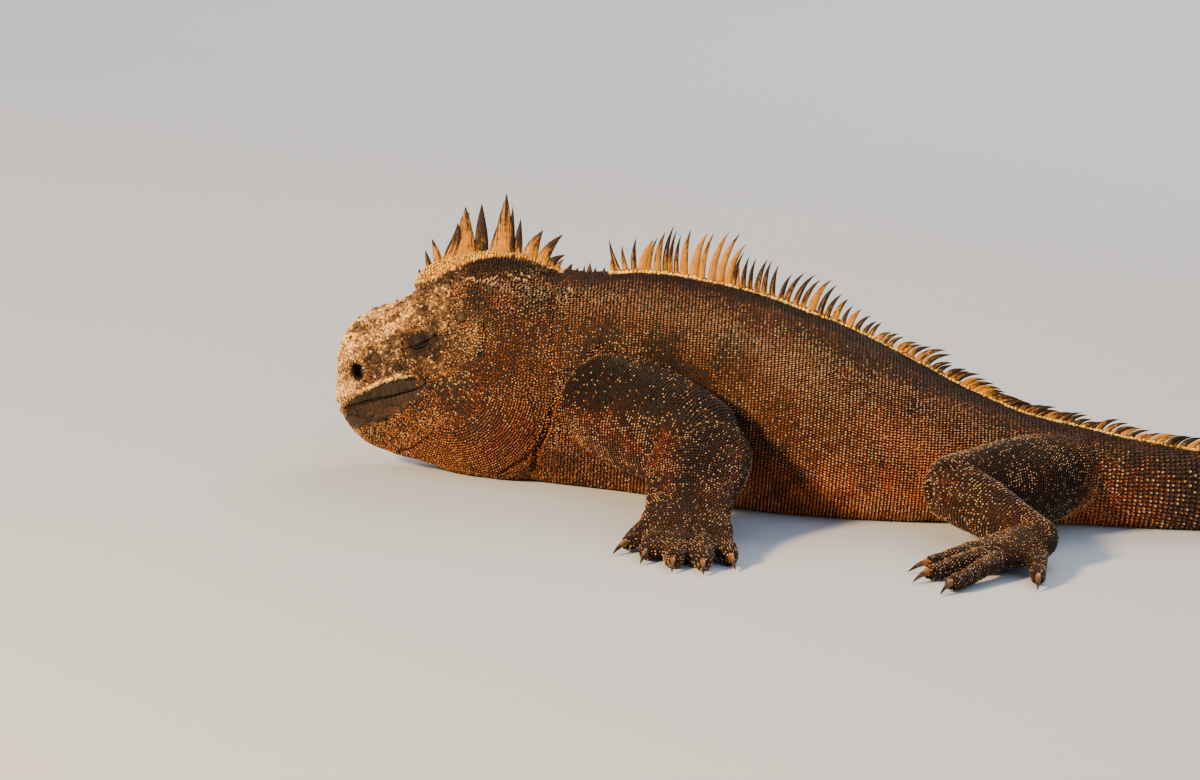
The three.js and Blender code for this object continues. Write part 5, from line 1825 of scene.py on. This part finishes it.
# %% The spines, read from the photo
NAPE_SPINES = [
    # root's front and back edge, root's height, tip (x, z), how dark, bend back
    (-93.8, -91, 97, -94.8, 100.8, 0.3, 0.1),
    (-90.4, -86.9, 100.7, -92.4, 110.6, 0.55, -0.1),
    (-86.8, -82.7, 105, -89.6, 116.6, 0.2, -0.15),
    (-84, -76.6, 107.6, -77.3, 125.3, 0.5, -0.5),
    (-79.6, -70, 109.4, -73.9, 133.8, -0.1, -0.2),
    (-73.4, -66, 111, -72.2, 131, 0.35, 0.3),
    (-67.1, -60.7, 112.4, -65.9, 136.3, 0.85, 0.05),
    (-61, -53.6, 113.2, -55.7, 134, 0.35, -0.35),
    (-57.2, -49, 113.6, -53.9, 142.2, 0.15, 0.05),
    (-51.3, -47.6, 113.4, -50.3, 136.3, 0.9, 0.05),
    (-48, -43.8, 112.6, -45.9, 130.2, 0.8, 0.1),
    (-43.8, -36.8, 111, -34.3, 125, 0.1, 0.4),
    (-37.2, -31.4, 109.6, -24.2, 123.7, 0.35, 0.5),
    (-32.6, -27.7, 108, -22.4, 113.5, 0.8, 0.9),
    (-28.3, -25.7, 107, -23, 111.8, 0.4, 0.3),
    (-26.2, -24.3, 106.3, -24.5, 108.9, 0.1, 0.2),
    (-22.4, -19.4, 106, -18.6, 109.4, 0.95, 0.2),
    (-17.4, -15.4, 106, -15.6, 108, 0.8, 0.2),
    (-13, -11.7, 106, -12.5, 109.3, 0.9, 0.2),
    (-11, -8.3, 106, -9.9, 110.6, 0.45, 0.1),
    (-7.7, -5.7, 106, -7, 108.4, 0.9, 0.2),
    (-3.6, -1.6, 106.4, -2.6, 109, 0.8, 0.1),
]
BACK_SPINES = [
    # place along the back, the tip's way back and up from there, half-width, how dark
    (2, -1, 8.7, 1.1, 0.55), (5.3, -6.7, 15.6, 1.3, 0.6), (8.9, -3.6, 12.4, 1.3, 0.5),
    (12.7, -0.6, 16.4, 1.5, 0.75), (16.5, 4.3, 15.9, 2.3, 0), (19.3, 3.6, 17.2, 1.4, 0.35),
    (24, 2.3, 20.4, 2, 0.3), (28, 2.5, 23.8, 1.5, 0.85), (30.7, 1.4, 22.6, 1.2, 0.6),
    (33.7, 0.7, 20.6, 1.3, 0.6), (37.6, 1.4, 23.4, 2.1, 0.15), (42.2, 5.2, 22.6, 2.3, 0.05),
    (46.2, 4.4, 23.2, 1.7, 0.15), (51.1, 7.2, 25.7, 2, 0), (55.2, 8.5, 25.3, 2, 0),
    (59, 8.1, 20.9, 1.9, 0), (62.4, 3.9, 17.8, 1.2, 0.9), (64.7, -0.1, 10.5, 1.3, 0),
    (67.4, 1.7, 16.6, 1.4, 0.85), (70.8, 1.8, 16.7, 1.3, 0.85), (74.2, 4.2, 17, 1.6, 0.7),
    (77.9, 2.5, 17.4, 1.5, 0.65), (82, 1.9, 16.1, 1.6, 0.75), (86.3, 4.7, 13.4, 1.4, 0.85),
    (89, 8.6, 15.2, 1.5, 0.85), (93.5, 9.3, 15.7, 1.6, 0.7), (97.2, 8.5, 14.8, 1.5, 0.65),
    (101.7, 9.1, 16, 2.1, 0.1), (106, 7.8, 15, 1.6, 0.9), (109.6, 7.2, 12.3, 1.5, 0.85),
    (113.6, 6.6, 11.2, 1.8, 0.4), (117.9, 4.7, 9.4, 1.3, 0.8), (121.1, 5.9, 9.1, 1.9, 0.05),
    (124.8, 7.1, 7.7, 1.5, 0.8), (128.7, 6.5, 6.4, 1.4, 0.8), (132, 5.8, 7.4, 1.4, 0.7),
    (135.4, 7.4, 4.2, 1.7, 0.3), (138.6, 8.1, 5, 1.5, 0.6), (141.6, 7.8, 4.8, 1.4, 0.6),
    (145.8, 10.2, 4.5, 1.9, 0.3), (148.7, 10, 4.6, 1.5, 0.4), (152, 11.4, 5.6, 1.6, 0.65),
    (156.2, 14.5, 6.4, 1.9, 0.5), (160, 13.9, 5.8, 1.7, 0.75), (163.8, 10.8, 3.6, 1.5, 0.85),
    (167.2, 7.7, 3.5, 1.4, 0.8), (171.1, 10.8, 3.9, 1.7, 0.85), (173.4, 10.5, 3.7, 1.4, 0.6),
    (175.9, 13, 4, 1.6, 0.85), (179.6, 12.5, 2.9, 1.6, 0.2), (182.8, 13.7, 2.4, 1.7, 0.6),
    (185.7, 14.5, 1.3, 1.7, 0.15), (188.9, 13.6, 1.1, 1.5, 0.3), (192, 10.2, 1.3, 1.5, 0.5),
    (195.7, 13.2, 1, 1.6, 0.7), (198.8, 12.4, 1.2, 1.5, 0.5),
]
# place along the body, length, lean back in degrees
REAR_SPINES = np.array([(200, 12.5, 78), (VENT, 12, 70), (420, 10.5, 68), (640, 7.5, 68), (800, 4, 68)])
REAR_START = 202.5
BLADE_SIDES = 10
BLADE_RINGS = 10
# How deep a spine's root is sunk in the ridge or the back.
NAPE_ROOT, BACK_ROOT = 2.5, 1.6


# %% Blades
class Blades:
    """Gathers horn spines into one mesh with what the material reads."""

    def __init__(self):
        self.points, self.faces, self.share, self.tone, self.grain = [], [], [], [], []

    def add(self, root, tip, bend, onward, width, thick, tone, leaf=0.5):
        """A spine from root to tip; bend moves its middle and leaf widens it there."""
        base = len(self.points)
        middle = (root + tip) / 2 + bend
        side = np.array([-onward[1], onward[0], 0.0])
        offset = draw.uniform(0, 40)
        for i in range(BLADE_RINGS + 1):
            t = i / BLADE_RINGS
            spot = root * (1 - t) ** 2 + middle * 2 * t * (1 - t) + tip * t**2
            ahead = 2 * (1 - t) * (middle - root) + 2 * t * (tip - middle)
            ahead /= np.linalg.norm(ahead)
            fore = np.cross(side, ahead)
            taper = (1 - t**1.7) ** 0.95 * (0.86 + leaf * t * (1 - t)) * 0.985 + 0.015
            for j in range(BLADE_SIDES):
                turn = 2 * math.pi * j / BLADE_SIDES
                lens = math.copysign(abs(math.sin(turn)) ** 1.3, math.sin(turn))
                flute = 1 + 0.12 * math.cos(5 * turn + offset)
                across = math.cos(turn) * width * taper
                self.points.append(spot + fore * across + side * lens * thick * taper * flute)
                self.share.append(t)
                self.tone.append(tone)
                self.grain.append((across * 1.5 + offset, t * 1.1, offset))
        self.faces += wall(BLADE_SIDES, BLADE_RINGS, base)
        self.faces.append(tuple(base + j for j in reversed(range(BLADE_SIDES))))
        self.faces.append(tuple(base + BLADE_RINGS * BLADE_SIDES + j for j in range(BLADE_SIDES)))

    def piece(self, name, material):
        mesh = mesh_of(name, np.array(self.points), self.faces)
        mesh.polygons.foreach_set("use_smooth", [True] * len(self.faces))
        write(mesh, "share", self.share, "FLOAT")
        write(mesh, "tone", self.tone, "FLOAT")
        write(mesh, "grain", self.grain, "FLOAT_VECTOR")
        thing = show(mesh, name, material)
        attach(thing, "root")
        print(name, sum(len(f) - 2 for f in self.faces), "triangles")


# %% [markdown]
# Fresh horn is amber and glows where it is thin. Old horn is grey-black, first at the tip,
# and dark streaks run along it. So share, from root to tip, the spine's own tone, streaks
# and blots add up to how dark a place is. The streaks are drawn about 0.4 mm wide, coarser
# than the real grain.

# %% Horn
def horn_material():
    """Horn: amber where it is thin and fresh, grey-black where it is old and at the tips."""
    material, tree = painted("crest horn")
    share = add(tree, "ShaderNodeAttribute", attribute_name="share").outputs["Fac"]
    tone = add(tree, "ShaderNodeAttribute", attribute_name="tone").outputs["Fac"]
    grain = add(tree, "ShaderNodeAttribute", attribute_name="grain").outputs["Vector"]
    lines = add(tree, "ShaderNodeTexNoise", {"Vector": grain, "Scale": 1.7, "Detail": 4.0})
    fine = add(tree, "ShaderNodeTexNoise", {"Vector": grain, "Scale": 5.0, "Detail": 2.0})
    place = add(tree, "ShaderNodeTexCoord").outputs["Object"]
    wear = add(tree, "ShaderNodeTexNoise", {"Vector": place, "Scale": 240.0, "Detail": 3.0})
    blot = add(tree, "ShaderNodeTexNoise", {"Vector": place, "Scale": 620.0, "Detail": 3.0})
    fresh = {0: wear.outputs["Fac"], 6: linear("#8b520a"), 7: linear("#d4971d")}
    amber = add(tree, "ShaderNodeMix", fresh, data_type="RGBA").outputs[2]
    # How dark: more towards the tip, by the spine's own tone, and in streaks and blots.
    dark = -2.4
    for value, amount in ((share, 1.1), (tone, 0.8), (lines.outputs["Fac"], 3.0), (blot.outputs["Fac"], 1.1)):
        darker = {0: value, 1: amount, 2: dark}
        dark = add(tree, "ShaderNodeMath", darker, operation="MULTIPLY_ADD").outputs[0]
    edges = {"Value": dark, "From Min": 0.05, "From Max": 0.55, "To Min": 0.0, "To Max": 1.0}
    clipped = add(tree, "ShaderNodeMapRange", edges).outputs["Result"]
    shades = {0: clipped, 6: amber, 7: linear("#22140c")}
    colour = add(tree, "ShaderNodeMix", shades, data_type="RGBA").outputs[2]
    uneven = {"Height": fine.outputs["Fac"], "Strength": 0.5, "Distance": 0.0004}
    bump = add(tree, "ShaderNodeBump", uneven).outputs["Normal"]
    surface = {"Base Color": colour, "Roughness": 0.5, "Normal": bump, "Specular IOR Level": 0.25}
    shader = add(tree, "ShaderNodeBsdfPrincipled", surface)
    add(tree, "ShaderNodeOutputMaterial", {"Surface": shader.outputs[0]})
    return material


horn = horn_material()


# %% Lay the crest
def lay_nape():
    blades = Blades()
    for front, back, z, tip_x, tip_z, tone, bend in NAPE_SPINES:
        root = np.array([(front + back) / 2, draw.uniform(-0.3, 0.3), z - NAPE_ROOT])
        tip = np.array([tip_x, draw.uniform(-1, 1), tip_z])
        length = np.linalg.norm(tip - root)
        push = np.array([-bend * length * 0.35, 0, abs(bend) * length * 0.1])
        width = (back - front) * 0.56
        blades.add(root, tip, push, np.array([1.0, 0, 0]), width, 0.55 + 0.026 * length, tone, 0.9)
    blades.piece("nape_crest", horn)


def rear_spines():
    """The rest of the row, down the tail: leaning far back and slowly shorter."""
    at = REAR_START
    while at < VENT + TAIL_LENGTH - 18:
        length, lean = (np.interp(at, REAR_SPINES[:, 0], REAR_SPINES[:, k]) for k in (1, 2))
        length = length * draw.uniform(0.78, 1.1)
        lean = math.radians(min(85, lean + draw.normal(0, 4)))
        dark = 0.85 if draw.random() < 0.6 else draw.uniform(0.1, 0.5)
        yield at, length * math.sin(lean), length * math.cos(lean), draw.uniform(1.3, 1.8), dark
        at += np.interp(at, [200, VENT, 420, 800], [3.6, 4, 4.6, 5]) * draw.uniform(0.75, 1.25)


def lay_back():
    blades = Blades()
    for at, back, high, half, dark in [*BACK_SPINES, *rear_spines()]:
        turn = heading(at)
        onward = np.array([math.cos(turn), math.sin(turn), 0.0])
        aside = np.array([-math.sin(turn), math.cos(turn), 0.0])
        up = np.array([0, 0, 1.0])
        root = np.array([*midline(at), top_at(at) - BACK_ROOT]) + aside * draw.uniform(-0.6, 0.6)
        length = math.hypot(back, high)
        tip = root + onward * back + up * (high + BACK_ROOT) + aside * draw.uniform(-0.08, 0.08) * length
        lean = back / length
        curl = onward * length * (-0.12 - 0.1 * lean) + up * length * (0.04 + 0.2 * lean)
        blades.add(root, tip, curl, onward, half * 1.15, 0.45 + 0.025 * length, dark * 1.25 - 0.3)
    blades.piece("back_crest", horn)


lay_nape()
lay_back()

# %% [markdown]
# ## Eyes and claws
# The eyes are nearly closed, so only a strip of a dark, wet eyeball shows. The claws are
# curved horn, dark brown with a paler root.

# %% Eyes
def eye_material():
    """A wet eyeball: a red-brown iris with darker rays round a black pupil."""
    material, tree = painted("wet eye")
    place = add(tree, "ShaderNodeUVMap", uv_map="Iris").outputs["UV"]
    rings = add(tree, "ShaderNodeTexGradient", {"Vector": place}, gradient_type="SPHERICAL")
    rays = add(tree, "ShaderNodeTexNoise", {"Vector": place, "Scale": 9.0, "Detail": 4.0})
    browns = {0: rays.outputs["Fac"], 6: linear("#160703"), 7: linear("#30150a")}
    iris = add(tree, "ShaderNodeMix", browns, data_type="RGBA").outputs[2]
    edge = {"Value": rings.outputs["Fac"], "From Min": 0.52, "From Max": 0.6}
    pupil = add(tree, "ShaderNodeMapRange", edge).outputs["Result"]
    both = {0: pupil, 6: iris, 7: linear("#060403")}
    colour = add(tree, "ShaderNodeMix", both, data_type="RGBA").outputs[2]
    surface = {"Base Color": colour, "Roughness": 0.3, "Specular IOR Level": 0.2}
    shader = add(tree, "ShaderNodeBsdfPrincipled", surface)
    add(tree, "ShaderNodeOutputMaterial", {"Surface": shader.outputs[0]})
    return material


def make_eye(name, side):
    edit = bmesh.new()
    bmesh.ops.create_uvsphere(edit, u_segments=48, v_segments=32, radius=EYE_RADIUS * MM)
    centre = Vector((EYE[0], side * EYE[1], EYE[2])) * MM
    iris = edit.loops.layers.uv.new("Iris")
    for face in edit.faces:
        face.smooth = True
        for corner in face.loops:
            spot = corner.vert.co / (EYE_RADIUS * MM)
            corner[iris].uv = (spot.x, spot.z)
    bmesh.ops.translate(edit, verts=edit.verts, vec=centre)
    mesh = bpy.data.meshes.new(name)
    edit.to_mesh(mesh)
    edit.free()
    ball = show(mesh, name, eye)
    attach(ball, "root")
    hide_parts("eye_left" if side < 0 else "eye_right")


eye = eye_material()
make_eye("eyeball_left", -1)
make_eye("eyeball_right", 1)

# %% Claws
# A claw's length, and its root's half-width and half-height.
CLAW = 16
CLAW_ROOT = (1.9, 2.35)
CLAW_SIDES = 12
CLAW_RINGS = 14


def claw_material():
    """Worn claw horn: brown-black, streaked along its length, tan at the root."""
    material, tree = painted("claw horn")
    share = add(tree, "ShaderNodeAttribute", attribute_name="share").outputs["Fac"]
    place = add(tree, "ShaderNodeTexCoord").outputs["Object"]
    streaks = add(tree, "ShaderNodeTexNoise", {"Vector": place, "Scale": 500.0, "Detail": 4.0})
    both = {0: share, 1: streaks.outputs["Fac"]}
    along = add(tree, "ShaderNodeMath", both, operation="ADD").outputs[0]
    aging = {"Value": along, "From Min": 0.6, "From Max": 1.3}
    dark = add(tree, "ShaderNodeMapRange", aging).outputs["Result"]
    shades = {0: dark, 6: linear("#a06a34"), 7: linear("#2a190d")}
    colour = add(tree, "ShaderNodeMix", shades, data_type="RGBA").outputs[2]
    uneven = {"Height": streaks.outputs["Fac"], "Strength": 0.3, "Distance": 0.0003}
    bump = add(tree, "ShaderNodeBump", uneven).outputs["Normal"]
    surface = {"Base Color": colour, "Roughness": 0.35, "Normal": bump}
    shader = add(tree, "ShaderNodeBsdfPrincipled", surface)
    add(tree, "ShaderNodeOutputMaterial", {"Surface": shader.outputs[0]})
    return material


def make_claws():
    points, faces, shares = [], [], []
    for plan in LIMBS.values():
        for start, direction, length, _ in digit_rows(plan):
            ahead = np.array([*direction, 0.0])
            side = np.array([-direction[1], direction[0], 0.0])
            base = len(points)
            for i in range(CLAW_RINGS + 1):
                t = i / CLAW_RINGS
                taper = (1 - t) ** 0.7 * 0.97 + 0.03
                arch = 4.8 + 2.4 * t - 6.4 * t**2
                spot = np.array([*start, 0.0]) + ahead * (length - 4 + CLAW * t)
                for j in range(CLAW_SIDES):
                    turn = 2 * math.pi * j / CLAW_SIDES
                    across = math.sin(turn) * CLAW_ROOT[0] * taper
                    high = max(0.05, arch + math.cos(turn) * CLAW_ROOT[1] * taper)
                    points.append(spot + side * across + np.array([0, 0, high]))
                    shares.append(t)
            faces += [(b, a, d, c) for a, b, c, d in wall(CLAW_SIDES, CLAW_RINGS, base)]
            faces.append(tuple(base + j for j in range(CLAW_SIDES)))
            last = base + CLAW_RINGS * CLAW_SIDES
            faces.append(tuple(last + j for j in reversed(range(CLAW_SIDES))))
    mesh = mesh_of("claws", np.array(points), faces)
    mesh.polygons.foreach_set("use_smooth", [True] * len(faces))
    write(mesh, "share", shares, "FLOAT")
    thing = show(mesh, "claws", claw_material())
    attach(thing, "root")


make_claws()

# %% [markdown]
# ## Light and floor
# The photo has low warm sun from the front left. The studio keeps that direction with large
# soft lamps, on a plain pale floor that is wide enough to fill the picture.

# %% Studio
def floor_material():
    """Plain matt studio paper."""
    material, tree = painted("studio floor")
    place = add(tree, "ShaderNodeTexCoord").outputs["Object"]
    mottle = add(tree, "ShaderNodeTexNoise", {"Vector": place, "Scale": 3.0, "Detail": 3.0})
    shades = {0: mottle.outputs["Fac"], 6: linear("#c6d4ea"), 7: linear("#ccd9ee")}
    colour = add(tree, "ShaderNodeMix", shades, data_type="RGBA").outputs[2]
    shader = add(tree, "ShaderNodeBsdfPrincipled", {"Base Color": colour, "Roughness": 0.9})
    add(tree, "ShaderNodeOutputMaterial", {"Surface": shader.outputs[0]})
    return material


FLOOR_REACH = 6000
floor = show(
    mesh_of(
        "floor",
        np.array([(-1, -1, 0), (1, -1, 0), (1, 1, 0), (-1, 1, 0)]) * FLOOR_REACH,
        [(0, 1, 2, 3)],
    ),
    "floor",
    floor_material(),
)

LAMPS = [
    # name, place, size, watts, colour
    ("key", (-2.0, -2.2, 1.3), 0.4, 300, "#ffd090"),
    ("fill", (1.6, -2.6, 1.0), 2.5, 14, "#ffeedd"),
    ("rim", (0.8, 2.4, 1.9), 1.6, 55, "#ffe6c4"),
]
for name, place, size, watts, code in LAMPS:
    lamp = bpy.data.lights.new(name, "AREA")
    lamp.size = size
    lamp.energy = watts
    lamp.color = linear(code)[:3]
    thing = bpy.data.objects.new(name, lamp)
    thing.location = place
    thing.rotation_euler = (-Vector(place)).to_track_quat("-Z", "Y").to_euler()
    bpy.context.scene.collection.objects.link(thing)

world = bpy.data.worlds.new("studio")
world.use_nodes = True
world.node_tree.nodes["Background"].inputs["Color"].default_value = linear("#dbe5f0")
world.node_tree.nodes["Background"].inputs["Strength"].default_value = 0.6
bpy.context.scene.world = world
